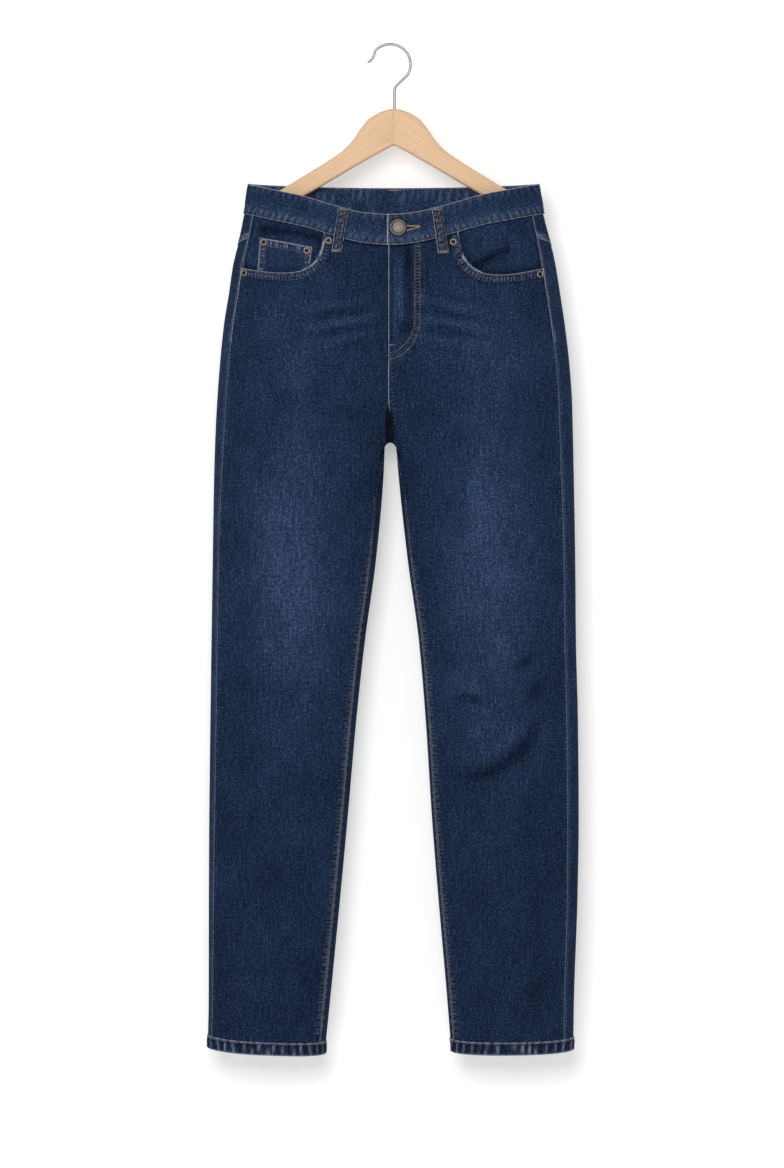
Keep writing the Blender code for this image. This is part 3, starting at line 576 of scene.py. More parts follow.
def front_grid(side):
    along_waist, along_mouth = FRONT_COLUMNS
    start_x = POCKET_MOUTH[side]["start_x"]
    share = np.linspace(0, 1, along_waist + 1)[:-1] ** 1.25
    centre = float(centre_seam(-230.0, False))
    waist_x = centre + (start_x - centre) * share
    mouth = pocket_mouth(side, 1 - (1 - np.linspace(0, 1, along_mouth + 1)) ** 1.2)
    top_x = np.concatenate([waist_x, mouth[:, 0]])
    top_z = np.concatenate([waist_z(waist_x, top=False) + SEAM_LAP, mouth[:, 1] - SEAM_GAP / 2])
    top_share = np.clip(share_at(side, top_x, top_z), 0, 1)
    top_share[0], top_share[-1] = 0, 1
    even = crowded(len(top_x), 0.13)
    rows = FRONT_UPPER_ROWS
    down = (np.arange(rows) / rows)[:, None] ** 1.7
    z = np.vstack([top_z + (LEVELS[0] - top_z) * down, np.repeat(LEVELS[:, None], len(top_x), 1), 0 * top_z])
    settle = ease(np.concatenate([down[:, 0] * 0.85, np.ones(len(LEVELS) + 1)]))[:, None]
    settle = np.maximum(settle, ease(np.arange(len(z)) / (rows + 3.0))[:, None])
    share = top_share + (even - top_share) * settle
    z[-1] = LEVELS[-1]
    inner = trimmed(side, inner_angle(side, z, False), z, -1)
    outer = trimmed(side, side_angle(side, z), z, 1)
    angle = inner + (outer - inner) * share
    z[-1] = hem_z(side, angle[-1], HEM_HEIGHT + SEAM_GAP)
    return angle, z


def on_leg(z):
    """0 above the crotch and 1 below it."""
    return ease((CROTCH_Z + 8 - z) / 24)


def worn_inseam(z):
    """The inseam is worn pale from a little below the crotch."""
    return ease((CROTCH_Z - 60 - z) / 120)


def above_tack(z):
    """1 above the side seam's bar tack, where the seam is stitched down."""
    return ease((z - SIDE_TACK_Z) / 12)


def seam_pull(d, along, seed, pitch=7.4, reach=7.0, depth=0.5):
    """Cloth beside a sewn seam: drawn in at the stitches, with puckers that die out away from them."""
    return depth * pucker(along, pitch, seed) * bump(d, reach) - 0.25 * bump(d - 1.5, 1.2)


def front_panel(side):
    angle, z = front_grid(side)
    base = form_point(side, angle, z)
    x = base[..., 0]
    across = steps_along(base, 1)
    d_in, d_out = across, across[:, -1:] - across
    seed = 20 if side == "right" else 40
    lift = 0.55 * ripple(x, z, 85, seed) + 0.16 * ripple(x, z, 26, seed + 1)
    dents = creased(side, "front", x, z)
    lift = (lift * ease(d_in / 12) * ease(d_out / 12) - dents) * ease(np.abs(np.sin(angle)) / 0.6)
    # The creases also paint shade: darker in their troughs, lighter along their ridges.
    fade_and_shade = faded("front", x, z) - 0.10 * dents
    wear = np.zeros(x.shape)
    # The turned-in pocket edge and the row of puckers inside it, with painted shade lines along its grooves.
    d_mouth, along = from_line(x, z, MOUTHS[side])
    strip = 1 - ease((d_mouth - 7.5) / 2.5)
    gather = pucker(along, 7.0, seed + 3)
    count, strength = along / 3.8, 0.80 * bump(d_mouth - 5.2, 2.2) + 0.2 * bump(d_mouth - 10.5, 1.5)
    lift = lift * (1 - strip) + strip * (0.75 + 0.35 * gather * bump(d_mouth - 4.5, 3.5))
    wear += ((0.78 + 0.2 * gather) * bump(d_mouth, 0.65)
             + 0.14 * np.maximum(gather, 0) * bump(d_mouth - 4.8, 2.2))
    fade_and_shade += 0.15 * strip - 0.7 * bump(d_mouth - 9.4, 0.9) - 0.6 * bump(d_mouth - 2.3, 0.8)
    # The waist seam gathers the top of the panel, and a painted shadow lies under the waistband.
    d_waist = waist_z(x, top=False) - z
    lift += 0.35 * pucker(x, 8.2, seed + 5) * bump(d_waist, 6.0) - 0.9 * bump(d_waist, 3.0)
    fade_and_shade -= 0.9 * bump(d_waist - 1.2, 1.5)
    # Rise above the crotch, inseam below it, with a painted shade line beside the inseam.
    leg = on_leg(z)
    lift += leg * seam_pull(d_in, z, seed + 7)
    ticks = np.maximum(pucker(z, 7.4, seed + 7), 0)
    leg_wear = leg * worn_inseam(z)
    wear += leg_wear * (0.22 * bump(d_in, 0.8) + 0.12 * ticks * bump(d_in - 3.5, 3.0))
    fade_and_shade += leg_wear * (0.05 * bump(d_in - 5, 5.0) - 0.6 * bump(d_in - 2.8, 1.3))
    inner_strength = leg_wear * (0.5 * bump(d_in - 3.2, 2.4) + 0.2 * bump(d_in - 7, 2.5))
    side_strength = 0.5 * bump(d_out - 1.4, 1.6)
    away = d_mouth > 13
    count = np.where(away, z / np.where(d_in < d_out, 4.4, 4.0), count)
    strength = np.where(away, inner_strength + side_strength, strength)
    rise = (1 - leg) * ease((-360 - z) / 20)
    lift += rise * (0.7 if side == "left" else -0.5) * bump(d_in, 5.0)
    if side == "left":
        wear += rise * ease((z + 424) / 8) * (0.95 + 0.3 * pucker(z, 9.0, 74)) * bump(d_in, 0.6)
        strength += rise * 0.45 * bump(d_in - 5.0, 2.4)
    # Painted shade fills a narrow wedge at the crotch, where the legs part.
    wedge = 6.0 * ease((-406 - z) / 34) * (z > CROTCH_Z - 16)
    dark = ease((wedge - d_in) / 1.6 + 0.5) * ease((-406 - z) / 12)
    fade_and_shade -= 1.3 * dark
    lift -= 1.4 * ease((wedge + 1.0 - d_in) / 5.0) * (1 - leg)
    # Side seam: a pressed ridge with worn lines and a painted shade line beside it.
    upper = above_tack(z)
    lift += seam_pull(d_out, z, seed + 9, pitch=9.0, reach=4.0, depth=0.25)
    wear += (0.14 + upper * (0.62 + 0.25 * pucker(z, 6.0, seed + 10))) * bump(d_out, 0.5)
    fade_and_shade += (1.5 - 0.9 * upper) * bump(d_out, 0.9) - 0.6 * bump(d_out - 1.9, 0.8)
    fade_and_shade += 0.5 * (1 - upper) * bump(d_out - 3.3, 0.7)
    # Fly: the left front laps over the right one and carries the curved stitching.
    flap = ease((z + 380) / 16)
    if side == "left":
        edge_out, along_out = from_line(x, z, FLY_ROWS[0])
        edge_in, _ = from_line(x, z, FLY_ROWS[1])
        fade_and_shade -= 0.6 * bump(np.hypot((x - 12) / 7, (z + 325) / 10), 1.0)
        lift += flap * (0.95 * bump(d_in, 8.0) + 0.3 * pucker(along_out, 8.0, 71) * bump(edge_out, 4.0))
        lift -= 0.35 * bump(edge_out, 1.2) + 0.35 * bump(edge_in, 1.2)
        wear += flap * (0.88 + 0.2 * pucker(z, 4.5, 73)) * bump(d_in, 0.65)
        wear += 0.05 * np.maximum(pucker(along_out, 8.0, 71), 0) * bump(edge_out - 2.5, 3.5)
        fade_and_shade += 0.12 * bump(edge_in, 6.0)
        streak = flap * ease((z + 345) / 25) * ease((-232 - z) / 20)
        fade_and_shade += streak * 0.9 * (bump(x - 6.2, 1.3) + bump(x - 10.2, 1.2) + bump(x - 13.6, 1.3))
        fade_and_shade -= 0.55 * bump(np.hypot((x - 20) / 6, (z + 240) / 20), 1.0) + 0.45 * streak * bump(x - 22.0, 4.5)
        near_fly = (edge_out < 9) & (d_in > 4)
        between = ease((8.5 - edge_in - edge_out) / 2)
        count = np.where(near_fly, along_out / 3.7, count)
        strength = np.where(near_fly, 0.8 * between * bump(edge_out - 3.0, 2.2), strength)
        fade_and_shade -= 0.3 * between * bump(edge_out - 3.0, 2.0)
    else:
        lift -= flap * 0.9 * bump(d_in, 7.0)
    whisk = bump(z + 318, 26) * bump(np.abs(x - CENTRE_X) - 62, 36)
    fade_and_shade += 0.5 * whisk * np.sin(2 * math.pi * (z + 0.16 * np.abs(x)) / 21 + 0.6 * ripple(x, z, 60, 90))
    d_hem = z - z[-1]
    fade_and_shade += 0.75 * np.maximum(pucker(x, 8.6, seed + 11), 0) * bump(d_hem - 1.5, 2.5)
    draw_in = rolled(np.minimum(d_mouth, np.where(flap > 0.5, np.maximum(d_in, 0), 9)), DENIM)
    outside = form_point(side, angle, z, lift - draw_in)
    inside = form_point(side, angle, z, lift - DENIM + draw_in)
    return wall("front_" + side, outside, inside, fade_and_shade, wear, u=weave_u(side, angle, z, False),
                ticks=(count, strength))


for side in SIGN:
    obj = front_panel(side)
    print(obj.name, len(obj.data.polygons), "faces")

# %% [markdown]
# ## Back panels and yokes
# The back is wider than the front and wraps round to the front at both seams. It hangs from the yoke, a
# curved strip that shapes the jeans over the seat. The yoke's lower edge laps over the back, and its top
# runs a little way up into the waistband, so that no light comes through the seams.

# %% Build the backs
def back_panel(side, columns=78, upper_rows=18):
    share = np.tile(crowded(columns, 0.135), (upper_rows + len(LEVELS) + 1, 1))
    top = yoke_z(share[0]) - SEAM_GAP / 2
    upper = [top + (LEVELS[0] - top) * (j / upper_rows) ** 1.3 for j in range(upper_rows)]
    z = np.vstack(upper + [np.full(columns, level) for level in LEVELS] + [np.full(columns, LEVELS[-1])])
    outer = trimmed(side, side_angle(side, z), z, -1)
    inner = trimmed(side, inner_angle(side, z, True), z, 1)
    angle = outer + (inner - outer) * share
    z[-1] = hem_z(side, angle[-1], HEM_HEIGHT + SEAM_GAP)
    base = form_point(side, angle, z)
    x = base[..., 0]
    across = steps_along(base, 1)
    d_out, d_in = across, across[:, -1:] - across
    seed = 60 if side == "right" else 80
    hidden = np.sin(angle) < 0
    face_fade_and_shade = np.where(hidden, faded("back", x, z), faded("front", x, z) + 0.22)
    lift = 0.6 * ripple(x, z, 85, seed) + 0.16 * ripple(x, z, 26, seed + 1)
    d_yoke = steps_along(base, 0)
    lift = lift * ease(d_in / 14) * ease(d_out / 14) * ease(d_yoke / 14)
    lift -= np.where(hidden, creased(side, "back", x, z), 0) * ease(d_in / 14) * ease(d_out / 14)
    lift = lift * ease(np.abs(np.sin(angle)) / 0.6)
    leg = on_leg(z)
    upper = above_tack(z)
    lift += seam_pull(d_out, z, seed + 3, pitch=9.0, reach=4.0, depth=0.25) + 0.5 * bump(d_out, 3.0)
    lift += leg * (seam_pull(d_in, z, seed + 5) + 0.45 * bump(d_in, 2.5))
    lift += (1 - leg) * (0.5 if side == "left" else -0.4) * bump(d_in, 6.0)
    lift += 0.25 * pucker(x, 9.0, YOKE_SEED) * bump(d_yoke, 6.0) - 0.85 * bump(d_yoke, 2.8)
    leg_wear = leg * worn_inseam(z)
    wear = (0.10 + 0.05 * upper) * bump(d_out, 1.2) + leg_wear * 0.2 * bump(d_in, 1.0)
    wear += ease((z + 400) / 12) * 0.4 * bump(d_in, 1.4)
    wear += 0.12 * leg_wear * np.maximum(pucker(z, 7.4, seed + 5), 0) * bump(d_in, 4.0)
    # Painted shade beside the inseam, and a painted shade line along the side seam.
    face_fade_and_shade = face_fade_and_shade - 0.3 * leg * bump(d_in - 3, 4.0)
    face_fade_and_shade += 0.75 * (1 - upper) * bump(d_out - 2.4, 0.7) - 0.6 * bump(d_out - 0.9, 0.7)
    return wall("back_" + side, form_point(side, angle, z, lift), form_point(side, angle, z, lift - DENIM),
                face_fade_and_shade, wear, u=weave_u(side, angle, z, True))


def yoke(side, columns=64, rows=20):
    share, down = np.meshgrid(crowded(columns), crowded(rows, 0.08))
    low = yoke_z(share) - SEAM_LAP
    high = np.full_like(low, WAIST_SEAM_Z)
    for _ in range(3):
        z = high + (low - high) * down
        outer = trimmed(side, side_angle(side, z), z, -1)
        inner = trimmed(side, inner_angle(side, z, True), z, 1)
        angle = outer + (inner - outer) * share
        x = form_point(side, angle, z)[..., 0]
        front = np.sin(angle) > 0
        high = np.where(front, waist_z(x, top=False), waist_z(x, top=False, back=True)) + SEAM_LAP
    base = form_point(side, angle, z)
    across = steps_along(base, 1)
    d_out, d_low, d_top = across, z - low, high - z
    lift = (0.45 * bump(d_low, 4.0) + 0.25 * pucker(x, 9.0, YOKE_SEED) * bump(d_low, 6.0)
            - 0.5 * bump(d_top, 2.5))
    lift += 0.4 * bump(d_out, 3.0)
    wear = 0.28 * bump(d_low, 1.0)
    fade_and_shade = 0.35 + 0.1 * ripple(x, z, 40, 34) + 0.5 * bump(d_low - 4, 4.0) * bump(d_out, 14.0)
    lift += 0.7 * bump(d_low - 4, 5.0) * bump(d_out, 16.0)
    frayed = 0.5 + 0.5 * ripple(x, z, 3.5, 35)
    wear += 0.45 * np.maximum(frayed, 0) * bump(d_low - 3.5, 3.2) * bump(d_out, 12.0)
    return wall("yoke_" + side, form_point(side, angle, z, lift), form_point(side, angle, z, lift - DENIM),
                fade_and_shade, wear)


for side in SIGN:
    print(back_panel(side).name, yoke(side).name)

# %% [markdown]
# ## Hems
# The end of each leg is folded up twice and stitched once. Washing twists the fold, which raises nearly
# upright ridges about 10 mm apart and wears their tops pale: the roping that people like on jeans.

# %% Build the hems
def hem(side, columns=190):
    up = np.array([0, 0.012, 0.04, 0.09, 0.16, 0.24, 0.33, 0.42, 0.52, 0.62, 0.71, 0.78, 0.83, 0.88, 0.95,
                   1.0])
    angle, share = np.meshgrid(np.arange(columns) * 2 * math.pi / columns, up)
    z = hem_z(side, angle, HEM_HEIGHT * share)
    base = form_point(side, angle, z)
    length = steps_along(base[:, np.arange(columns + 1) % columns], 1)
    turns = round(float(length[0, -1]) / 9.4)
    s = length[:, :-1] / length[:, -1:] * turns
    seed = 5 if side == "right" else 6
    wobble = 0.16 * np.sin(2 * math.pi * s / turns * 5 + seed) + 0.10 * np.sin(2 * math.pi * s / turns * 11)
    wave = np.sin(2 * math.pi * (s + wobble + 0.22 * share))
    strength = 0.75 + 0.25 * np.sin(2 * math.pi * s / turns * 7 + 2 * seed)
    rope = (2 * np.maximum(wave, 0) ** 2.6 - 0.55) * strength
    within = ease(share / 0.1) * (1 - ease((share - 0.72) / 0.14))
    lift = HEM_PROUD + 0.42 * rope * within - 0.45 * bump(share * HEM_HEIGHT - 12.5, 1.0)
    lift += 0.25 * ripple(base[..., 0], base[..., 1] * 3, 60, seed) * (1 - share)
    draw_in = rolled(HEM_HEIGHT * share, HEM_THICK * 0.9) + rolled(HEM_HEIGHT * (1 - share), DENIM * 1.6)
    crest = np.maximum(wave, 0) ** 7 * strength * within
    wear = 0.46 * crest + 0.6 * bump(share * HEM_HEIGHT, 1.1)
    wear += (0.55 + 0.4 * wave * strength) * bump(HEM_HEIGHT * (1 - share), 1.2)
    # A painted shade line lies just under the stitch row's groove.
    fade_and_shade = 0.10 - 0.28 * within * (1 - crest) + 0.5 * crest - 0.9 * bump(share * HEM_HEIGHT - 10.9, 0.9)
    outside = form_point(side, angle, z, lift - draw_in)
    inside = form_point(side, angle, z, HEM_PROUD - HEM_THICK + draw_in * 0.9)
    ticks = (2 * (s + wobble + 0.22 * share), 0.25 * within + 0.6 * bump(HEM_HEIGHT * (1 - share), 2.0))
    return wall("hem_" + side, outside, inside, fade_and_shade, wear, ring=True, ticks=ticks)


for side in SIGN:
    print(hem(side).name)

# %% [markdown]
# ## Waistband
# A doubled strip, stitched near both edges. Its left end laps over the right one and carries the
# buttonhole. The front sags between the hanger's tips, so the inside of the back shows above it.

# %% Build the waistband
WAISTBAND = 2.4
LAP = {"edge_x": -3.3, "under_x": 36.0, "raise": 1.35, "ramp": 9.0}


def lap_lift(x, side):
    if side == "left":
        return LAP["raise"] * (1 - ease((x - LAP["under_x"]) / LAP["ramp"]))
    return -LAP["raise"] * ease((x - LAP["edge_x"] + LAP["ramp"]) / LAP["ramp"])


BAND_ROWS = np.array([0, 0.006, 0.018, 0.034, 0.06, 0.1, 0.15, 0.2, 0.26, 0.33, 0.41, 0.5, 0.59, 0.67, 0.75,
                      0.82, 0.88, 0.92, 0.95, 0.972, 0.986, 0.995, 1.0])


def band_relief(s, up, height, seed):
    """Lift and wear of a waistband: puckers at both rows of stitches and slanted pulls between them."""
    low, top = up * height, (1 - up) * height
    gather_low = pucker(s + 0.5 * low, 7.6, seed)
    gather_top = pucker(s - 0.3 * top, 8.8, seed + 1)
    pull = pucker(s + 0.9 * low, 23.0, seed + 2)
    lift = 0.32 * gather_low * bump(low - 4, 4.0) + 0.2 * gather_top * bump(top - 3, 3.5)
    lift += 0.22 * pull * bump(low - 15, 12) + 0.4 * ripple(s, low * 2, 60, seed + 3)
    lift -= 0.3 * bump(low - 3.0, 1.0) + 0.3 * bump(top - 3.0, 1.0)
    wear = (0.95 + 0.3 * gather_top) * bump(top, 0.6) + (0.62 + 0.3 * gather_low) * bump(low, 0.6)
    wear += 0.20 * np.maximum(gather_low, 0) * bump(low - 5.0, 3.2)
    wear += (0.10 * np.maximum(gather_top, 0) * bump(top - 4, 3.0)
             + 0.03 * np.maximum(pull, 0) * bump(low - 10, 8))
    ticks = ((s + 0.5 * low) / 4.9, 0.36 * bump(low - 4.6, 3.0) + 0.22 * bump(top - 4.0, 2.2))
    return lift, wear, ticks


def waistband_front(side, columns=120):
    start = LAP["edge_x"] if side == "left" else LAP["under_x"]
    share = 1 - (1 - np.linspace(0, 1, columns)) ** 1.7
    share = share - 0.02 * np.sin(2 * math.pi * share)
    up = BAND_ROWS[:, None]
    z = np.full((len(BAND_ROWS), columns), WAIST_SEAM_Z)
    for _ in range(4):
        end = outer_edge(side, z[:, -1:])
        x = start + (end - start) * share
        low = waist_z(x, top=False) + SEAM_GAP / 2
        z = low + (waist_z(x, top=True) - low) * up
    height = waist_z(x, top=True) - low
    s = steps_along(point_at_x(x, z, 0.0), 1)
    lift, wear, ticks = band_relief(s, up + 0 * s, height, 101 if side == "right" else 111)
    draw_in = rolled(np.minimum(np.minimum(up, 1 - up) * height, s), WAISTBAND)
    wear += 0.8 * bump(s, 0.9) * (side == "left")
    lift = lift * ease(s / 5) + lap_lift(x, side)
    outside = point_at_x(x, z, lift + WAISTBAND / 2 - draw_in)
    inside = point_at_x(x, z, lift * 0.9 + 0.1 * lap_lift(x, side) - WAISTBAND / 2 + draw_in)
    fade_and_shade = 0.38 + 0.12 * ripple(x, z, 50, 117) + 0.30 * bump(up * height - 8.0, 4.5)
    # Painted shade lines lie along both rows of stitches.
    fade_and_shade -= 0.5 * bump(up * height - 2.6, 0.9) + 0.4 * bump((1 - up) * height - 2.6, 0.9)
    return wall("waistband_front_" + side, outside, inside, fade_and_shade, wear, lining=0.0, ticks=ticks)


def waistband_back(columns=241):
    each = columns // 2 + 1
    up = BAND_ROWS[:, None]
    share = np.linspace(0, 1, each)[None, :]
    half_x, half_z, half_angle = [], [], []
    for side in ("right", "left"):
        z = np.full((len(BAND_ROWS), each), WAIST_SEAM_Z)
        for _ in range(4):
            angle = -math.pi / 2 * share + 0 * z
            x = form_point(side, angle, z)[..., 0]
            low = waist_z(x, top=False, back=True) + SEAM_GAP / 2
            z = low + (waist_z(x, top=True, back=True) - low) * up
        order = slice(None) if side == "right" else slice(-2, None, -1)
        half_x.append(form_point(side, angle, z)[:, order])
        half_z.append(z[:, order])
        half_angle.append(angle[:, order])
    s = steps_along(np.concatenate(half_x, axis=1), 1)
    z = np.concatenate(half_z, axis=1)
    height = WAIST_TOP_Z - WAIST_SEAM_Z
    lift, wear, ticks = band_relief(s, up + 0 * s, height, 121)
    wear = 0.6 * wear
    draw_in = rolled(np.minimum(up, 1 - up) * height + 0 * s, WAISTBAND)
    sheets = []
    for move in (lift + WAISTBAND / 2 - draw_in, 0.8 * lift - WAISTBAND / 2 + draw_in):
        cut = half_z[0].shape[1]
        sheets.append(np.concatenate([form_point("right", half_angle[0], half_z[0], move[:, :cut]),
                                      form_point("left", half_angle[1], half_z[1], move[:, cut:])], axis=1))
    fade_and_shade = 0.5 + 0.1 * ripple(s, z, 40, 125)
    streaks = np.maximum(pucker(s, 9.5, 127) + 0.5 * ripple(s, z / 3, 12, 128), 0)
    # The inside of the band is painted light: raised above the outside's tone, with pale streaks on its
    # puckers.
    inner_fade_and_light = 0.68 + 0.1 * ripple(s, z, 40, 126) + 1.3 * streaks * bump(height * (1 - up) - 9.0, 8.0)
    return wall("waistband_back", *sheets, fade_and_shade, wear, lining=0.0, inner_fade_and_light=inner_fade_and_light, ticks=ticks)


print(waistband_front("right").name, waistband_front("left").name, waistband_back().name)

# %% [markdown]
# ## Pockets, facings and the fly's inner strips
# Inside each pocket mouth lies a denim facing. The right one carries the small coin pocket. Two plain
# patch pockets sit on the seat, on the side that the photograph doesn't show.

# %% Build the facings
FACING = {"thick": 1.0, "inner_x": {"right": -60.0, "left": 62.0}, "underlap": 27.0, "seam_ramp": 10.0,
          "mouth_start": 9.0, "mouth_ramp": 7.0, "corner": 16.0, "coin": 0.9}
FACING_PULLS = {"left": bezier([(88, -262), (104, -250), (134, -236)], np.linspace(0, 1, 9)),
                "right": bezier([(-86, -222), (-108, -214), (-146, -212)], np.linspace(0, 1, 9))}


def facing(side, columns=56, rows=40):
    under = 2 * LAYER_GAP + DENIM + (FACING["coin"] if side == "right" else 0)
    across, down = np.meshgrid(crowded(columns, 0.12), crowded(rows, 0.05))
    mouth_x, mouth_z = MOUTHS[side].T
    reach = SIGN[side] * mouth_x

    def x_at(z):
        outer_x = seam_x(side, z, SEAM_GAP)
        return outer_x + (FACING["inner_x"][side] - outer_x) * across, outer_x

    high = low = np.full(across.shape, -240.0)
    for _ in range(5):
        high = waist_z(x_at(high)[0], top=False) + SEAM_LAP
        x, _ = x_at(low)
        beyond = np.clip((SIGN[side] * (mouth_x[0] - x)) / FACING["corner"], 0, 1)
        low = np.interp(SIGN[side] * x, reach, mouth_z) - FACING["underlap"] * (1 - 0.3 * beyond)
    z = high + (low - high) * down
    x, outer_x = x_at(z)
    mouth_here = np.interp(SIGN[side] * x, reach, mouth_z, left=0.0)
    from_seams = np.minimum(np.abs(x - outer_x), high - z) / FACING["seam_ramp"]
    to_mouth = (mouth_here + FACING["mouth_start"] - z) / FACING["mouth_ramp"]
    lift = -under * (1 - (1 - ease(from_seams)) * (1 - ease(to_mouth)))
    angle = angle_at(side, x, z)
    d_mouth, _ = from_line(x, z, MOUTHS[side])
    open_cloth = ease(d_mouth / 10)
    lift += open_cloth * (0.25 * ripple(x, z, 45, 131) - 0.3 * bump(high - z, 2.5))
    # Painted shade darkens the facing under the pocket edge and under the waistband.
    fade_and_shade = 0.30 + 0.12 * ripple(x, z, 40, 132) - 0.60 * bump(d_mouth, 5.5) - 0.8 * bump(high - z - 1.0, 1.6)
    pull, _ = from_line(x, z, FACING_PULLS[side])
    lift -= 0.9 * open_cloth * bump(pull, 5.0)
    # Painted shade lies in the fold along the pull.
    fade_and_shade -= 0.95 * bump(pull, 4.5)
    wear = 0.62 * bump(np.abs(x - outer_x), 0.55)
    # A painted shade line runs beside the side seam.
    fade_and_shade -= 0.5 * bump(np.abs(x - outer_x) - 2.2, 1.0)
    outside = form_point(side, angle, z, lift)
    inside = form_point(side, angle, z, lift - FACING["thick"])
    return wall("pocket_facing_" + side, outside, inside, fade_and_shade, wear)


print(facing("right").name, facing("left").name)

# %% Build the patch pockets
COIN_POCKET = ((-149.7, -221.8), (-89.2, -233.3), (-96.0, -286.0), (-153.5, -280.0))
COIN_THICK, COIN_TALL = FACING["coin"], 53
BACK_POCKET = {"from_centre": 97.0, "top_z": -270.0, "top_half": 66.0, "low_half": 57.0, "side": 112.0,
               "point": 24.0, "thick": 1.1, "tilt": 0.07}


def patch(name, x, z, low_lift, thick, back, d_top, seed, fade_and_shade):
    """A pocket's cloth laid on the form, with round edges, a turned-in top and puckers at its stitches."""
    base = point_at_x(x, z, 0.0, back)
    across, down = steps_along(base, 1), steps_along(base, 0)
    d_side = np.minimum(across, across[:, -1:] - across)
    d_low = down[-1:] - down
    edge = np.minimum(np.minimum(d_side, d_low), d_top)
    gather = pucker(np.where(d_side < np.minimum(d_low, d_top), z, x), 7.4, seed)
    lift = (0.22 * gather * bump(edge - 4, 3.0) - 0.2 * bump(edge - 1.8, 0.9)
            + 0.15 * ripple(x, z, 30, seed + 1))
    wear = 0.65 * bump(edge, 1.1) + 0.3 * np.maximum(gather, 0) * bump(edge - 4, 3.0)
    top = low_lift + thick + np.maximum(lift, -0.4 * thick)
    draw_in = rolled(edge, thick)
    counts = np.where(d_side < np.minimum(d_low, d_top), z, x) / 3.8
    # A painted shade line lies inside the pocket's edges, along its stitches.
    fade_and_shade = fade_and_shade - 0.5 * bump(edge - 2.4, 0.9)
    return wall(name, point_at_x(x, z, top - draw_in, back), point_at_x(x, z, low_lift + draw_in, back),
                fade_and_shade, wear, lining=0.0, ticks=(counts, 0.7 * bump(edge - 4.5, 2.6)))


def coin_pocket():
    across, down = np.meshgrid(crowded(44, 0.12), crowded(40, 0.12))
    a, b, c, d = (np.array(corner) for corner in COIN_POCKET)
    s, t = across[..., None], down[..., None]
    flat = (1 - t) * ((1 - s) * a + s * b) + t * ((1 - s) * d + s * c)
    x, z = flat[..., 0], flat[..., 1]
    d_top = down * COIN_TALL
    # Painted shade under the front's pocket edge, which lies over the coin pocket.
    fade_and_shade = 0.4 - 0.35 * bump(from_line(x, z, MOUTHS["right"])[0], 5.0)
    return patch("coin_pocket", x, z, -DENIM - LAYER_GAP - COIN_THICK, COIN_THICK, False, d_top, 141, fade_and_shade)


def back_pocket_outline(side, wide, down):
    size = BACK_POCKET
    half = size["top_half"] + (size["low_half"] - size["top_half"]) * down
    drop = (size["side"] + size["point"] * (1 - np.abs(wide))) * down
    x = CENTRE_X + SIGN[side] * (size["from_centre"] + wide * half + size["tilt"] * drop)
    return x, size["top_z"] - drop + size["tilt"] * wide * half


def back_pocket(side):
    wide, down = np.meshgrid(2 * crowded(66, 0.11) - 1, crowded(64, 0.11))
    x, z = back_pocket_outline(side, wide, down)
    fade_and_shade = 0.55 * bump(np.hypot(wide, (down - 0.45) * 2), 0.8) + 0.25
    return patch("back_pocket_" + side, x, z, LAYER_GAP, BACK_POCKET["thick"], True,
                 down * BACK_POCKET["side"], 151 if side == "right" else 161, fade_and_shade)


print(coin_pocket().name, back_pocket("right").name, back_pocket("left").name)

# %% Build the strips behind the fly
FLY = {"facing": 38.0, "facing_low_z": -362.0, "shield": 36.0, "shield_back": 12.0, "shield_low_z": -352.0,
       "zip": 13.0, "zip_x": 11.0, "zip_low_z": -346.0, "thick": 1.0}


def fly_strip(name, start_x, end_x, low_z, lift, columns=24, rows=70):
    x, down = np.meshgrid(np.linspace(start_x, end_x, columns), np.linspace(0, 1, rows))
    high = waist_z(x, top=False) - SEAM_GAP
    z = high + (low_z - high) * down
    edge = np.minimum(np.minimum(x - start_x, end_x - x), z - low_z)
    draw_in = rolled(edge, FLY["thick"])
    wear = 0.3 * bump(edge, 1.2)
    return wall(name, point_at_x(x, z, lift - draw_in), point_at_x(x, z, lift - FLY["thick"] + draw_in),
                0.2, wear, lining=0.6)


under = -DENIM - LAYER_GAP
fly_strip("fly_facing", FLY_EDGE_X + SEAM_GAP, FLY_EDGE_X + FLY["facing"], FLY["facing_low_z"], under)
zip_lift = under - FLY["thick"] - LAYER_GAP
fly_strip("zip", FLY["zip_x"] - FLY["zip"], FLY["zip_x"] + FLY["zip"], FLY["zip_low_z"], zip_lift)
shield_lift = zip_lift - FLY["thick"] - LAYER_GAP
fly_strip("fly_shield", FLY_EDGE_X - FLY["shield_back"], FLY_EDGE_X + FLY["shield"], FLY["shield_low_z"],
          shield_lift)
print("fly strips made")

# %% [markdown]
# ## Belt loops
# Narrow folded strips, held down by a bar tack at each end and slack between, over the waistband.

# %% Build the belt loops
LOOP = {"width": 11.8, "thick": 1.6, "slack": 2.0}
BELT_LOOPS = {
    "belt_loop_front_right": {"top": -52.8, "low": -61.1, "back": False, "low_z": -239.1},
    "belt_loop_front_left": {"top": 53.3, "low": 61.3, "back": False, "low_z": -240.7},
    "belt_loop_back_right": {"top": -84.0, "low": -85.5, "back": True, "low_z": -210.0},
    "belt_loop_back_left": {"top": 93.4, "low": 94.9, "back": True, "low_z": -210.0},
    "belt_loop_centre": {"top": CENTRE_X, "low": CENTRE_X, "back": True, "low_z": -212.0},
}


def loop_middle(place, down):
    """x, z and lift of a loop's middle line, at shares of the way down."""
    back = place["back"]
    middle = place["top"] + (place["low"] - place["top"]) * down
    high = waist_z(place["top"], top=True, back=back) - LAYER_GAP
    z = high + (place["low_z"] - high) * down
    seam = waist_z(middle, top=False, back=back)
    rest = LAYER_GAP + WAISTBAND / 2 * (1 - ease((seam - 1.0 - z) / 3.0))
    return middle, z, rest + LOOP["slack"] * np.sin(math.pi * down) ** 2


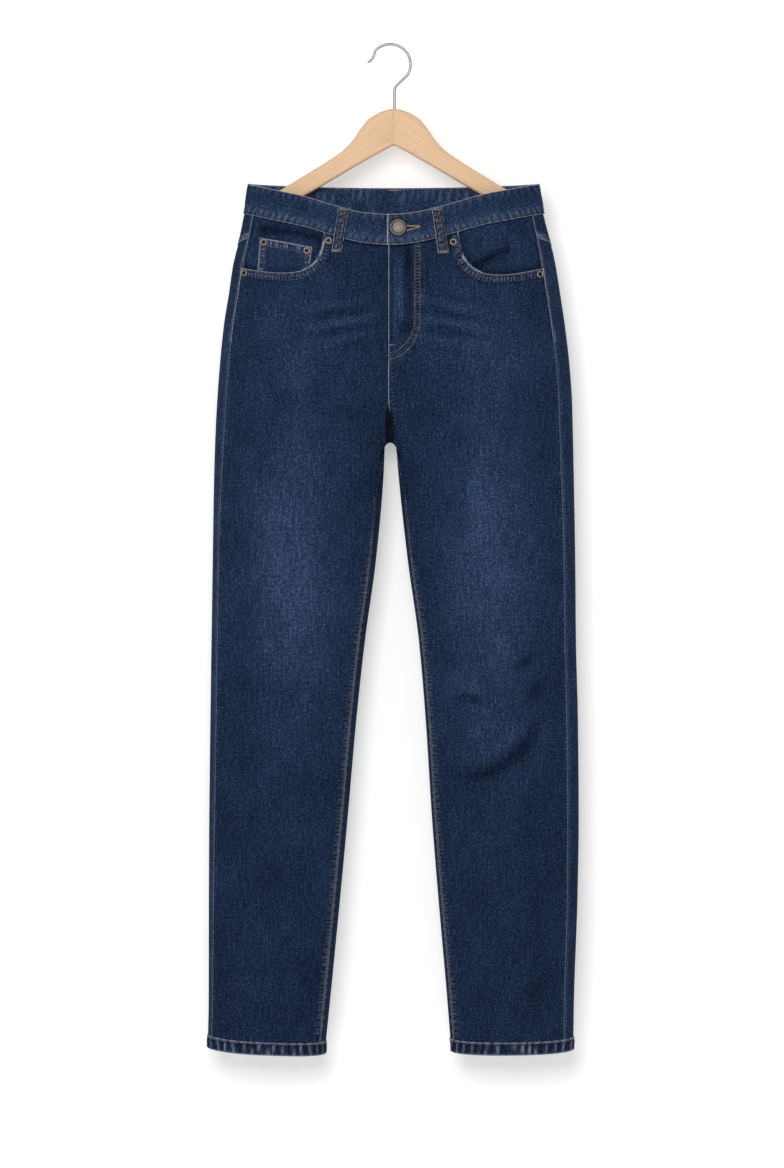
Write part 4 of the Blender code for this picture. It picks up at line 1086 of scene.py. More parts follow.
def belt_loop(name, place):
    down = crowded(44, 0.12)
    middle, z, lift = loop_middle(place, down)
    across = (crowded(17, 0.13) - 0.5) * LOOP["width"]
    near_end = bump(np.minimum(down, 1 - down), 0.08)
    waver = 1 + 0.045 * ripple(z, 0 * z, 13, len(name))[:, None] + 0.05 * near_end[:, None]
    x = middle[:, None] + across[None, :] * waver
    z, lift = z[:, None] + 0 * x, lift[:, None] + 0 * x
    d_side = LOOP["width"] / 2 - np.abs(across)[None, :] + 0 * x
    d_end = np.minimum(down, 1 - down)[:, None] * (z[0, 0] - z[-1, 0]) + 0 * x
    held = bump(d_end - 2.0, 1.6)
    rib = 0.28 * bump(d_side - 1.2, 1.0) - 0.3 * bump(d_side - 3.2, 0.9) - 0.45 * held
    draw_in = rolled(np.minimum(d_side, d_end), LOOP["thick"])
    wear = (0.62 + 0.4 * ripple(z, x / 4, 6, 173)) * bump(d_side, 0.6) + 0.4 * bump(d_end, 0.8)
    wear += 0.3 * np.maximum(ripple(z, x * 2, 5, 174), 0) * bump(d_side - 4.6, 1.8)
    # A painted shade line lies beside each row of stitches.
    fade_and_shade = (0.5 * ripple(x, z, 7, 175) + 0.4 * pucker(z, 4.2, 171) * bump(d_side - 4, 3)
            - 0.8 * bump(d_side - 2.3, 0.8))
    return wall(name, point_at_x(x, z, lift + LOOP["thick"] + rib - draw_in, place["back"]),
                point_at_x(x, z, lift + draw_in, place["back"]), fade_and_shade, wear, lining=0.0,
                ticks=(z / 2.7, 0.9 * bump(d_side - 3.4, 1.6)))


for name, place in BELT_LOOPS.items():
    belt_loop(name, place)
print(len(PIECES), "pieces of cloth")

# %% [markdown]
# ## Nodes without clutter
# Materials and geometry trees are both made of nodes, so one small function adds a node, sets it and links
# it. Colours are picked as sRGB hex values, the way a screen shows them, and turned to the linear values
# that a renderer works with.

# %% Helpers for nodes
def fill(tree, node, inputs):
    """Sets a node's inputs. A value is a number, a colour, or the socket that feeds it."""
    for key, value in inputs.items():
        if isinstance(value, bpy.types.NodeSocket):
            tree.links.new(value, node.inputs[key])
        else:
            node.inputs[key].default_value = value
    return node


def add(tree, kind, inputs, **settings):
    """Adds a node with its settings and links."""
    node = tree.nodes.new(kind)
    for key, value in settings.items():
        setattr(node, key, value)
    return fill(tree, node, inputs)


def linear(code):
    values = [int(code[k:k + 2], 16) / 255 for k in (1, 3, 5)]
    return (*(v / 12.92 if v <= 0.04045 else ((v + 0.055) / 1.055) ** 2.4 for v in values), 1.0)


def new_material(name):
    made = bpy.data.materials.new(name)
    made.use_nodes = True
    return made, made.node_tree, made.node_tree.nodes["Principled BSDF"]


# %% [markdown]
# ## Denim
# Denim is a cotton twill: indigo warp threads over white weft, 0.5 mm apart, with thick and thin places in
# the yarn that show as short vertical slubs. The dye sits on the outside of the yarn, so it wears off
# unevenly and edges go pale. The real twill line is too fine to show at this distance, so it is drawn
# about twice as coarse. The surface is matt with a little fuzz, which is what the sheen gives.

# %% Make the denim
def denim():
    made, tree, shader = new_material("washed_indigo_denim")
    cloth = add(tree, "ShaderNodeUVMap", {}, uv_map="cloth").outputs[0]

    noises = []
    for size_x, size_z, detail in ((0.0024, 0.020, 2.0), (0.0034, 0.0036, 2.0), (0.0015, 0.0019, 1.0),
                                   (0.030, 0.055, 3.0), (0.0022, 0.0040, 2.0)):
        stretched = add(tree, "ShaderNodeMapping", {0: cloth, "Scale": (1 / size_x, 1 / size_z, 1)})
        noises.append(add(tree, "ShaderNodeTexNoise", {"Vector": stretched.outputs[0], "Scale": 1.0,
                                                       "Detail": detail, "Roughness": 0.6},
                          noise_dimensions="2D").outputs[0])
    slub, mottle, grain, cloud, rubbed = noises
    slanted = add(tree, "ShaderNodeMapping", {0: cloth, "Rotation": (0, 0, math.radians(-58))}).outputs[0]
    twill = add(tree, "ShaderNodeTexWave", {"Vector": slanted, "Scale": 250.0, "Distortion": 1.5,
                                            "Detail": 1.0, "Detail Scale": 2.0}).outputs[1]
    fade_and_shade, wear, lining, count, strength = (
        add(tree, "ShaderNodeAttribute", {}, attribute_name=label).outputs[2]
        for label in ("fade_and_shade", "wear", "lining", "tick_count", "tick_strength"))
    # The stitches' ticks: a wave along the seam that the mottle makes uneven.
    turns = add(tree, "ShaderNodeMath", {0: count, 1: 2 * math.pi}, operation="MULTIPLY").outputs[0]
    turns = add(tree, "ShaderNodeMath", {0: mottle, 1: 2.4, 2: turns}, operation="MULTIPLY_ADD").outputs[0]
    wave = add(tree, "ShaderNodeMath", {0: turns}, operation="SINE").outputs[0]
    uneven = add(tree, "ShaderNodeMath", {0: mottle, 1: 3.0, 2: -0.7}, operation="MULTIPLY_ADD").outputs[0]
    uneven = add(tree, "ShaderNodeMath", {0: strength, 1: uneven}, operation="MULTIPLY").outputs[0]
    tick = add(tree, "ShaderNodeMath", {0: wave, 1: uneven}, operation="MULTIPLY").outputs[0]
    # The dye's tone. Each noise lies about 0.5, so half of all the amounts comes off the middle tone.
    amounts = ((slub, 0.5), (mottle, 0.68), (grain, 1.2), (cloud, 0.3), (twill, 0.08))
    middle = 0.33 - sum(amount for _, amount in amounts) / 2
    # The tone takes the indigo's fading together with the painted shade that the cloth carries.
    tone = add(tree, "ShaderNodeMath", {0: fade_and_shade, 1: 0.40, 2: middle}, operation="MULTIPLY_ADD").outputs[0]
    for value, amount in (*amounts, (tick, 0.36)):
        tone = add(tree, "ShaderNodeMath", {0: value, 1: amount, 2: tone},
                   operation="MULTIPLY_ADD").outputs[0]
    ramp = add(tree, "ShaderNodeValToRGB", {0: tone})
    stops = ramp.color_ramp.elements
    for place in (0.25, 0.5, 0.75):
        stops.new(place)
    for stop, code in zip(stops, ("#050D1E", "#122039", "#1D2E4A", "#2C3F5D", "#475B7E")):
        stop.color = linear(code)
    # Worn edges and the tops of the ticks show the white inside of the yarn.
    patchy = add(tree, "ShaderNodeMath", {0: rubbed, 1: 1.5, 2: 0.2}, operation="MULTIPLY_ADD").outputs[0]
    worn = add(tree, "ShaderNodeMath", {0: wear, 1: patchy}, operation="MULTIPLY").outputs[0]
    raised = add(tree, "ShaderNodeMath", {0: tick, 1: 0.0}, operation="MAXIMUM").outputs[0]
    raised = add(tree, "ShaderNodeMath", {0: raised, 1: tick}, operation="MULTIPLY").outputs[0]
    worn = add(tree, "ShaderNodeMath", {0: raised, 1: 0.34, 2: worn}, operation="MULTIPLY_ADD",
               use_clamp=True).outputs[0]
    colour = add(tree, "ShaderNodeMix", {0: worn, 6: ramp.outputs[0], 7: linear("#B1BCCF")},
                 data_type="RGBA").outputs[2]
    weft = add(tree, "ShaderNodeMix", {0: slub, 6: linear("#56657E"), 7: linear("#8C97A8")},
               data_type="RGBA").outputs[2]
    inner = add(tree, "ShaderNodeMath", {0: lining, 1: 0.85}, operation="MULTIPLY").outputs[0]
    colour = add(tree, "ShaderNodeMix", {0: inner, 6: colour, 7: weft}, data_type="RGBA").outputs[2]
    relief = add(tree, "ShaderNodeMath", {0: grain, 1: 0.6, 2: twill}, operation="MULTIPLY_ADD").outputs[0]
    relief = add(tree, "ShaderNodeMath", {0: slub, 1: 0.7, 2: relief}, operation="MULTIPLY_ADD").outputs[0]
    bumped = add(tree, "ShaderNodeBump", {"Height": relief, "Strength": 0.55, "Distance": 0.0006}).outputs[0]
    fill(tree, shader, {"Base Color": colour, "Normal": bumped, "Roughness": 0.88, "Specular IOR Level": 0.10,
                        "Sheen Weight": 0.01, "Sheen Roughness": 0.6, "Sheen Tint": linear("#9FB0CC")})
    return made


DENIM_CLOTH = denim()

# %% [markdown]
# ## Sheets of cloth
# Each piece of cloth gets the denim, or the tape if it is the zip, takes the place of the CAD part of the
# same name and rides on the root body.

# The zip's tape is woven polyester, which gives an even dark navy with a fine herringbone and a soft shine.

ZIP_TAPE, tree, shader = new_material("navy_polyester_zip_tape")
place = add(tree, "ShaderNodeUVMap", {}, uv_map="cloth").outputs[0]
herringbone = add(tree, "ShaderNodeTexWave", {"Vector": place, "Scale": 420.0, "Distortion": 1.0}).outputs[0]
colour = add(tree, "ShaderNodeMix", {0: herringbone, 6: linear("#141A29"), 7: linear("#252E42")},
             data_type="RGBA").outputs[2]
fill(tree, shader, {"Base Color": colour, "Roughness": 0.7})
for name, obj in PIECES.items():
    obj.data.materials.append(ZIP_TAPE if name == "zip" else DENIM_CLOTH)
    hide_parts(name)
    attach(obj, "root")
print("declared", len(PIECES), "sheets")

# %% [markdown]
# ## Thread
# Jeans are sewn with thick thread in tobacco and gold, and cream at the inseams, at about three stitches to
# the centimetre. A stitch is a short, low bead of thread that dips into the cloth at both ends. Geometry
# Nodes set one bead on every point of a seam. The points come from the same lines as the relief, cast onto
# the finished cloth so that each lies on its surface.

# %% The stitch tree
def new_tree(name, sockets):
    tree = bpy.data.node_groups.new(name, "GeometryNodeTree")
    tree.interface.new_socket("Geometry", in_out="OUTPUT", socket_type="NodeSocketGeometry")
    tree.interface.new_socket("Geometry", in_out="INPUT", socket_type="NodeSocketGeometry")
    for label, kind in sockets:
        tree.interface.new_socket(label, in_out="INPUT", socket_type="NodeSocket" + kind)
    return tree, add(tree, "NodeGroupInput", {}).outputs


def along_and_out(tree):
    """Rotation from each point's attributes: X along the seam and Z out of the cloth."""
    along, out = (add(tree, "GeometryNodeInputNamedAttribute", {"Name": label},
                      data_type="FLOAT_VECTOR").outputs[0] for label in ("along", "out"))
    first = add(tree, "FunctionNodeAlignRotationToVector", {"Vector": out}, axis="Z").outputs[0]
    return add(tree, "FunctionNodeAlignRotationToVector", {"Rotation": first, "Vector": along}, axis="X",
               pivot_axis="Z").outputs[0]


def finish_tree(tree, geometry, material):
    real = add(tree, "GeometryNodeRealizeInstances", {"Geometry": geometry}).outputs[0]
    shaded = add(tree, "GeometryNodeSetMaterial", {"Geometry": real, "Material": material}).outputs[0]
    add(tree, "NodeGroupOutput", {0: shaded})
    return tree


def stitch_tree():
    tree, given = new_tree("stitches", [("Length", "Float"), ("Width", "Float"), ("Height", "Float"),
                                        ("Unevenness", "Float"), ("Seed", "Int"), ("Thread", "Material")])
    bead = add(tree, "GeometryNodeMeshUVSphere", {"Segments": 6, "Rings": 5, "Radius": 0.5}).outputs[0]
    size = add(tree, "ShaderNodeCombineXYZ", {0: given["Length"], 1: given["Width"], 2: given["Height"]})
    bead = add(tree, "GeometryNodeTransform", {"Geometry": bead, "Scale": size.outputs[0]}).outputs[0]
    least = add(tree, "ShaderNodeMath", {0: 1.0, 1: given["Unevenness"]}, operation="SUBTRACT").outputs[0]
    scale = add(tree, "FunctionNodeRandomValue", {"Min": least, "Max": 1.0, "Seed": given["Seed"]},
                data_type="FLOAT").outputs["Value"]
    placed = add(tree, "GeometryNodeInstanceOnPoints", {"Points": given["Geometry"], "Instance": bead,
                                                        "Rotation": along_and_out(tree), "Scale": scale})
    smooth = add(tree, "GeometryNodeSetShadeSmooth", {"Geometry": placed.outputs[0]}).outputs[0]
    return finish_tree(tree, smooth, given["Thread"])


STITCHES = stitch_tree()
print(STITCHES.name, len(STITCHES.nodes), "nodes")


# %% Grow a mesh from points
def plain_mesh(holder, name):
    """The finished mesh of an object with modifiers or a curve. The object itself is removed."""
    graph = bpy.context.evaluated_depsgraph_get()
    mesh = bpy.data.meshes.new_from_object(holder.evaluated_get(graph), depsgraph=graph)
    mesh.name = name
    bpy.data.objects.remove(holder, do_unlink=True)
    return mesh


def grown(name, tree, places, along, out, values, slot):
    """Runs a tree on points with directions, and keeps the result as a plain mesh at the origin."""
    mesh = bpy.data.meshes.new(name + "_points")
    mesh.from_pydata((np.asarray(places) * MM).tolist(), [], [])
    store(mesh, "along", along, "FLOAT_VECTOR")
    store(mesh, "out", out, "FLOAT_VECTOR")
    holder = linked(name + "_holder", mesh)
    modifier = holder.modifiers.new("grow", "NODES")
    modifier.node_group = tree
    sockets = {item.name: item.identifier for item in tree.interface.items_tree if item.in_out == "INPUT"}
    for label, value in values.items():
        modifier[sockets[label]] = value
    obj = linked(name, plain_mesh(holder, name))
    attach(obj, "root")
    return obj


def cotton(name, code, dark):
    """Corespun sewing thread: twisted plies, soft shine, rubbed darker in places."""
    made, tree, shader = new_material(name)
    place = add(tree, "ShaderNodeTexCoord", {}).outputs["Object"]
    rubbed = add(tree, "ShaderNodeTexNoise", {"Vector": place, "Scale": 90.0, "Detail": 2.0}).outputs[0]
    plies = add(tree, "ShaderNodeTexWave", {"Vector": place, "Scale": 900.0, "Distortion": 2.0}).outputs[1]
    factor = add(tree, "ShaderNodeMath", {0: rubbed, 1: 2.4, 2: -0.7}, operation="MULTIPLY_ADD",
                 use_clamp=True).outputs[0]
    colour = add(tree, "ShaderNodeMix", {0: factor, 6: linear(dark), 7: linear(code)},
                 data_type="RGBA").outputs[2]
    bumped = add(tree, "ShaderNodeBump", {"Height": plies, "Strength": 0.3, "Distance": 0.0003}).outputs[0]
    fill(tree, shader, {"Base Color": colour, "Normal": bumped, "Roughness": 0.6, "Specular IOR Level": 0.3})
    return made


THREADS = {
    "tobacco": cotton("tobacco_cotton_thread", "#877062", "#3F3A40"),
    "gold": cotton("gold_cotton_thread", "#B09A80", "#6A5C52"),
    "cream": cotton("cream_cotton_thread", "#A89F90", "#5C5F68"),
}

# %% [markdown]
# ## Sewing the seams
# A line of sewing is given as x and z on the front or the back. It is cut into stitches, and each is cast
# straight in from outside the form onto the cloth.

# %% Lay out the stitches
DEPSGRAPH = bpy.context.evaluated_depsgraph_get()
SURFACES = {name: BVHTree.FromObject(obj, DEPSGRAPH) for name, obj in PIECES.items()}
SEWN = {"tobacco": [], "gold": [], "cream": []}


def resampled(line, pitch):
    line = np.asarray(line, float)
    length = np.insert(np.cumsum(np.linalg.norm(np.diff(line, axis=0), axis=1)), 0, 0.0)
    at = np.arange(pitch / 2, length[-1], pitch)
    return np.stack([np.interp(at, length, line[:, k]) for k in (0, 1)], axis=1)


def cast(x, z, back, names, side=None, inner=False):
    """The place on the cloth at this x and z, and the direction out of it."""
    make = (lambda lift: form_point(side, angle_at(side, x, z, back), z, lift)) if side else (
        lambda lift: point_at_x(x, z, lift, back))
    start, end = (Vector(make(lift) * MM) for lift in ((-9.0, 4.0) if inner else (9.0, -4.0)))
    aim = (end - start).normalized(), (end - start).length
    best = None
    for name in names:
        hit, normal, _, distance = SURFACES[name].ray_cast(start, *aim)
        if hit is not None and (best is None or distance < best[2]):
            best = (hit, normal, distance)
    return best


def unit(vectors):
    return vectors / (np.linalg.norm(vectors, axis=-1, keepdims=True) + 1e-9)


def on_cloth(line, pitch, names, back, side, inner):
    """Places at an even pitch along a line, cast onto the cloth, and the directions out of it."""
    hits = [cast(x, z, back, names, side, inner) for x, z in resampled(line, pitch)]
    found = [hit for hit in hits if hit]
    return np.array([hit[0] for hit in found]) / MM, np.array([hit[1] for hit in found])


def sew(colour, line, names, back=False, side=None, pitch=3.4, sink=0.05, inner=False):
    places, out = on_cloth(line, pitch, names, back, side, inner)
    sew_points(colour, places - sink * out, out)


def sew_points(colour, places, out):
    SEWN[colour].append((places, unit(np.gradient(places, axis=0)), out))


BAND_FRONTS = ["waistband_front_left", "waistband_front_right"]
for low_gap, top in ((3.0, False), (-3.0, True)):
    for side in SIGN:
        start = LAP["edge_x"] + 2.5 if side == "left" else LAP["edge_x"] - 2.0
        xs = np.linspace(start, float(seam_x(side, np.array(-185.0))) - SIGN[side] * 1.0, 60)
        sew("tobacco", np.stack([xs, waist_z(xs, top=top) + low_gap], axis=1), [BAND_FRONTS[side == "right"]])
    xs = np.linspace(-158, 167, 90)
    sew("tobacco", np.stack([xs, waist_z(xs, top=top, back=True) + low_gap], axis=1), ["waistband_back"],
        back=True)
xs = np.full(9, LAP["edge_x"] + 2.6)
sew("tobacco", down_line(xs, np.linspace(-198.5, -228.0, 9)), ["waistband_front_left"])
for side in SIGN:
    panel, other = ["front_" + side], ["back_" + side]
    sew("tobacco", offset_line(MOUTHS[side], -2.0 * SIGN[side])[1:], panel)
    sew("tobacco", offset_line(MOUTHS[side], -8.6 * SIGN[side])[2:-1], panel)
    sew("cream", inseam_line(side, 1.8)[4:], panel, side=side)
    sew("tobacco", side_line(side, -2.0, -232.0, -340.0), other + ["yoke_" + side], side=side)
for line in FLY_ROWS:
    sew("gold", line, ["front_left"], side="left", pitch=3.0)
xs = np.linspace(-160, 169, 100)
sew("gold", np.stack([xs, waist_z(xs, top=True, back=True) - 1.6], axis=1), ["waistband_back"], back=True,
    pitch=2.8, inner=True)
print({colour: sum(len(part[0]) for part in parts) for colour, parts in SEWN.items()}, "stitches")

# %% Sew the hems, pockets, yokes and loops
HEM_STITCHES, HEM_ROW, HEM_SINK = 86, 12.5, 0.22
for side in SIGN:
    angle = (np.arange(HEM_STITCHES) + 0.5) * 2 * math.pi / HEM_STITCHES
    z = hem_z(side, angle, HEM_ROW)
    surface = form_point(side, angle, z, HEM_PROUD - HEM_SINK)
    sew_points("tobacco", surface, form_point(side, angle, z, 5.0) - form_point(side, angle, z, 0.0))
    share = np.linspace(0.02, 0.99, 50)
    for inset in (3.0, 9.0):
        z = yoke_z(share) + inset
        outer, inner = side_angle(side, z), inner_angle(side, z, True)
        x = form_point(side, outer + (inner - outer) * share, z)[:, 0]
        behind = np.sin(outer + (inner - outer) * share) < 0
        sew("gold", np.stack([x, z], axis=1)[behind], ["yoke_" + side], back=True, side=side)
    z = float(yoke_z(0.0)) + 3.4
    seam, edge = float(seam_x(side, np.array(z))), float(outer_edge(side, z))
    sew("tobacco", [(seam + (edge - seam) * 0.1, z), (seam + (edge - seam) * 0.9, z - 1.0)], ["yoke_" + side],
        side=side, pitch=2.6)
    for inset in (2.0, 8.0):
        wide = 1 - inset / BACK_POCKET["top_half"]
        ends = np.concatenate([[[-wide, 0.01]], [[-wide, 0.97 - inset / 120]], [[0, 0.985 - inset / 136]],
                               [[wide, 0.97 - inset / 120]], [[wide, 0.01]]])
        path = np.concatenate([ends[k] + (ends[k + 1] - ends[k]) * np.linspace(0, 1, 24)[:, None]
                               for k in range(4)])
        sew("gold", np.stack(back_pocket_outline(side, path[:, 0], path[:, 1]), axis=1),
            ["back_pocket_" + side], back=True)
    for down in (0.025, 0.15):
        wide = np.linspace(-0.97, 0.97, 30)
        sew("gold", np.stack(back_pocket_outline(side, wide, 0 * wide + down), axis=1),
            ["back_pocket_" + side], back=True)
z = np.linspace(-266, -440, 40)
for x in (CENTRE_X + 1.8, CENTRE_X + 7.5):
    sew("gold", down_line(x, z), ["back_left"], back=True, side="left")
top_out, top_in, low_in, low_out = (np.array(corner) for corner in COIN_POCKET)
for shift in (1.6, 8.2):
    drop = np.array([0.0, -shift])
    sew("tobacco", np.linspace(top_out + drop + (1, 0), top_in + drop - (1, 0), 24), ["coin_pocket"])
for shift in (1.7, 7.2):
    inward = np.array([shift, 0.0])
    sew("tobacco", np.linspace(top_out + inward, low_out + inward, 24), ["coin_pocket"])
sew("tobacco", np.linspace(top_in - (1.7, 0), low_in - (1.7, 0), 24), ["coin_pocket"])
for name, place in BELT_LOOPS.items():
    down = np.linspace(0.06, 0.94, 13)
    for across in (-2.6, 2.6):
        middle, z, lift = loop_middle(place, down)
        sew("tobacco", np.stack([middle + across, z], axis=1), [name], back=place["back"], pitch=2.7)
print({colour: sum(len(part[0]) for part in parts) for colour, parts in SEWN.items()}, "stitches")

# %% [markdown]
# ## Bar tacks and the buttonhole
# A bar tack is a zigzag of close stitches that locks a corner, 7 to 10 mm long and 2 mm wide. The
# buttonhole is the same sewing along both lips of the cut, meeting in a point. Both are rows of beads laid
# across their line.

# %% Lay out the close stitches
CLOSE = {"gold": [], "tobacco": []}


def bar(colour, start, end, names, back=False, side=None, pitch=0.75, inner=False):
    """Close stitches across a short line from start to end."""
    places, out = on_cloth([start, end], pitch, names, back, side, inner)
    CLOSE[colour].append((places, unit(np.cross(np.gradient(places, axis=0), out)), out))


for name, place in BELT_LOOPS.items():
    for down in (0.045, 0.955):
        middle, z, _ = loop_middle(place, np.array([down]))
        slant = 0.12 * (place["low"] - place["top"])
        bar("gold", (middle[0] - 4.9, z[0] + slant * 0.3), (middle[0] + 4.9, z[0] - slant * 0.3), [name],
            back=place["back"])
bar("gold", (FLY_EDGE_X + 0.8, -345.8), (6.8, -345.8), ["front_left"], side="left")
for side in SIGN:
    x = float(seam_x(side, np.array(-334.0))) + SIGN[side] * 2.4
    bar("tobacco", (x, -329.0), (x, -342.0), ["back_" + side], side=side)
    for wide in (-0.97, 0.97):
        corner = back_pocket_outline(side, np.array([wide, wide]), np.array([0.015, 0.09]))
        bar("gold", *np.stack(corner, axis=1), ["back_pocket_" + side], back=True)
for start, end in (((19.6, -209.3), (34.6, -209.5)), ((19.0, -214.9), (33.6, -210.6))):
    bar("gold", start, end, ["waistband_front_left"], pitch=0.6)
bar("gold", (-1.6, -165.0), (12.6, -165.0), ["waistband_back"], back=True, inner=True)
print("close stitches:", sum(len(part[0]) for parts in CLOSE.values() for part in parts))

# %% Grow all the thread
STITCH_SIZES = {"Length": 0.0028, "Width": 0.00075, "Height": 0.0006, "Unevenness": 0.25, "Seed": 7}
BAR_SIZES = {"Length": 0.0021, "Width": 0.00075, "Height": 0.0006, "Unevenness": 0.2, "Seed": 9}
for kind, laid, sizes in (("stitches", SEWN, STITCH_SIZES), ("bar_tacks", CLOSE, BAR_SIZES)):
    for colour, parts in laid.items():
        stacked = [np.concatenate([part[k] for part in parts]) for k in range(3)]
        made = grown(f"{kind}_{colour}", STITCHES, *stacked, {**sizes, "Thread": THREADS[colour]}, "denim")
        print(made.name, len(made.data.polygons), "faces")

# %% [markdown]
# ## Metal on the cloth
# The button is a stamped cap of zinc, plated and tumbled to an antique silver: a rolled rim, a ring of
# painted shade and a low dome, with painted shade under its rim. Rivets are burred copper-brass caps with a
# painted dark centre. Both are round and turned, so a profile of radius and height makes them.

# %% The button
BUTTON = {"x": 9.3, "z": -211.5, "radius": 9.7, "height": 4.2}


def metal(name, bright, dark, rough, size):
    """Old plated metal: bright where it is rubbed, dark where tarnish stays and where painted shade lies,
    with small dents.
    """
    made, tree, shader = new_material(name)
    place = add(tree, "ShaderNodeTexCoord", {}).outputs["Object"]
    stain = add(tree, "ShaderNodeTexNoise", {"Vector": place, "Scale": 1 / size, "Detail": 4.0}).outputs[0]
    painted_shade = add(tree, "ShaderNodeAttribute", {}, attribute_name="painted_shade").outputs[2]
    rubbed_and_unshaded = add(tree, "ShaderNodeMath", {0: stain, 1: 1.1, 2: 0.05}, operation="MULTIPLY_ADD").outputs[0]
    rubbed_and_unshaded = add(tree, "ShaderNodeMath", {0: rubbed_and_unshaded, 1: painted_shade}, operation="SUBTRACT",
                use_clamp=True).outputs[0]
    colour = add(tree, "ShaderNodeMix", {0: rubbed_and_unshaded, 6: linear(dark), 7: linear(bright)},
                 data_type="RGBA").outputs[2]
    duller = add(tree, "ShaderNodeMapRange", {0: stain, "To Min": rough - 0.1, "To Max": rough + 0.15})
    dents = add(tree, "ShaderNodeBump", {"Height": stain, "Strength": 0.25, "Distance": 0.0002}).outputs[0]
    fill(tree, shader, {"Base Color": colour, "Roughness": duller.outputs[0], "Normal": dents,
                        "Metallic": 1.0})
    return made


def outward_at(x, z, reach=6.0):
    along = point_at_x(x + reach, z, 0.0) - point_at_x(x - reach, z, 0.0)
    up = point_at_x(x, z + reach, 0.0) - point_at_x(x, z - reach, 0.0)
    out = np.cross(along, up)
    return out / np.linalg.norm(out)


def round_solid(name, rings):
    """A closed, smooth mesh through rings of points, with a flat cap at both ends."""
    sides, last = len(rings[0]), len(rings) - 1
    k = np.arange(sides)
    n = (k + 1) % sides
    faces = [np.stack([j * sides + k, j * sides + n, (j + 1) * sides + n, (j + 1) * sides + k], -1)
             for j in range(last)]
    mesh = bpy.data.meshes.new(name)
    mesh.from_pydata((np.concatenate(rings) * MM).tolist(), [],
                     np.concatenate(faces).tolist() + [k[::-1].tolist(), (last * sides + k).tolist()])
    bm = bmesh.new()
    bm.from_mesh(mesh)
    bmesh.ops.recalc_face_normals(bm, faces=bm.faces)
    bm.to_mesh(mesh)
    bm.free()
    mesh.shade_smooth()
    return mesh


def turned(name, profile, sides, place, out):
    """A closed turned mesh from (radius, height, painted shade) rows, standing on the cloth."""
    across = np.array([-out[1], out[0], 0.0])
    up = np.cross(out, across)
    turn = np.arange(sides) * 2 * math.pi / sides
    circle = np.cos(turn)[:, None] * across + np.sin(turn)[:, None] * up
    mesh = round_solid(name, [place + out * h + r * circle for r, h, _ in profile])
    store(mesh, "painted_shade", np.repeat([shadow for _, _, shadow in profile], sides))
    mesh.set_sharp_from_angle(angle=math.radians(40))
    obj = linked(name, mesh)
    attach(obj, "root")
    return obj


ANTIQUE_SILVER = metal("antique_silver_plated_zinc", "#8E867D", "#3B3734", 0.52, 0.0022)
radius, height = BUTTON["radius"], BUTTON["height"]
# The third value of each row is painted shade: under the rim, in the ring inside it and in a small ring on
# the dome.
profile = [(0.01, 0, 1), (0.72, 0, 1), (0.9, 0.16, 0.8), (0.97, 0.36, 0.4), (1.0, 0.56, 0.1),
           (0.985, 0.76, 0), (0.94, 0.91, 0), (0.88, 0.985, 0), (0.83, 1.0, 0), (0.79, 0.97, 0.05),
           (0.755, 0.90, 0.35),
           (0.735, 0.82, 0.6), (0.7, 0.78, 0.4), (0.6, 0.77, 0.15), (0.5, 0.775, 0.1), (0.45, 0.76, 0.3),
           (0.42, 0.775, 0.1), (0.25, 0.785, 0.05), (0.1, 0.79, 0), (0.01, 0.79, 0)]
profile = [(r * radius, h * height, shade) for r, h, shade in profile]
lift = WAISTBAND / 2 + LAP["raise"] + LAYER_GAP + SEAM_GAP
button = turned("button_cap", profile, 72, point_at_x(BUTTON["x"], BUTTON["z"], lift),
                outward_at(BUTTON["x"], BUTTON["z"]))
button.data.materials.append(ANTIQUE_SILVER)
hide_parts("button")
print(button.name, len(button.data.polygons), "faces")

# %% The rivets
RIVETS = {
    "rivet_coin_outer": (-144.9, -227.3, True), "rivet_coin_inner": (-95.3, -237.4, True),
    "rivet_right_waist": (-70.2, -226.0, False), "rivet_right_side": (-167.1, -262.4, False),
    "rivet_left_waist": (72.5, -227.5, False), "rivet_left_side": (172.0, -264.0, False),
}


def rivet_tree():
    tree, given = new_tree("rivets", [("Radius", "Float"), ("Height", "Float"), ("Metal", "Material")])
    radius, height = given["Radius"], given["Height"]
    ring_radius, wire_radius, cap_radius, cap_height, rise = (
        add(tree, "ShaderNodeMath", {0: value, 1: share}, operation="MULTIPLY").outputs[0]
        for value, share in ((radius, 0.74), (radius, 0.26), (radius, 0.62), (height, 0.42), (height, 0.25)))
    ring = add(tree, "GeometryNodeCurvePrimitiveCircle", {"Resolution": 32, "Radius": ring_radius}).outputs[0]
    wire = add(tree, "GeometryNodeCurvePrimitiveCircle", {"Resolution": 10, "Radius": wire_radius}).outputs[0]
    rim = add(tree, "GeometryNodeCurveToMesh", {"Curve": ring, "Profile Curve": wire}).outputs[0]
    cap = add(tree, "GeometryNodeMeshUVSphere", {"Segments": 24, "Rings": 8, "Radius": 1.0}).outputs[0]
    size = add(tree, "ShaderNodeCombineXYZ", {0: cap_radius, 1: cap_radius, 2: cap_height}).outputs[0]
    cap = add(tree, "GeometryNodeTransform", {"Geometry": cap, "Scale": size}).outputs[0]
    # The cap carries painted shade, so that it shows dark like the hole of a burred rivet.
    cap = add(tree, "GeometryNodeStoreNamedAttribute", {"Geometry": cap, "Name": "painted_shade", "Value": 0.75},
              data_type="FLOAT", domain="POINT").outputs[0]
    both = add(tree, "GeometryNodeJoinGeometry", {})
    tree.links.new(rim, both.inputs[0])
    tree.links.new(cap, both.inputs[0])
    raised = add(tree, "ShaderNodeCombineXYZ", {2: rise}).outputs[0]
    lifted = add(tree, "GeometryNodeTransform", {"Geometry": both.outputs[0],
                                                 "Translation": raised}).outputs[0]
    placed = add(tree, "GeometryNodeInstanceOnPoints", {"Points": given["Geometry"], "Instance": lifted,
                                                        "Rotation": along_and_out(tree)})
    smooth = add(tree, "GeometryNodeSetShadeSmooth", {"Geometry": placed.outputs[0]}).outputs[0]
    return finish_tree(tree, smooth, given["Metal"])


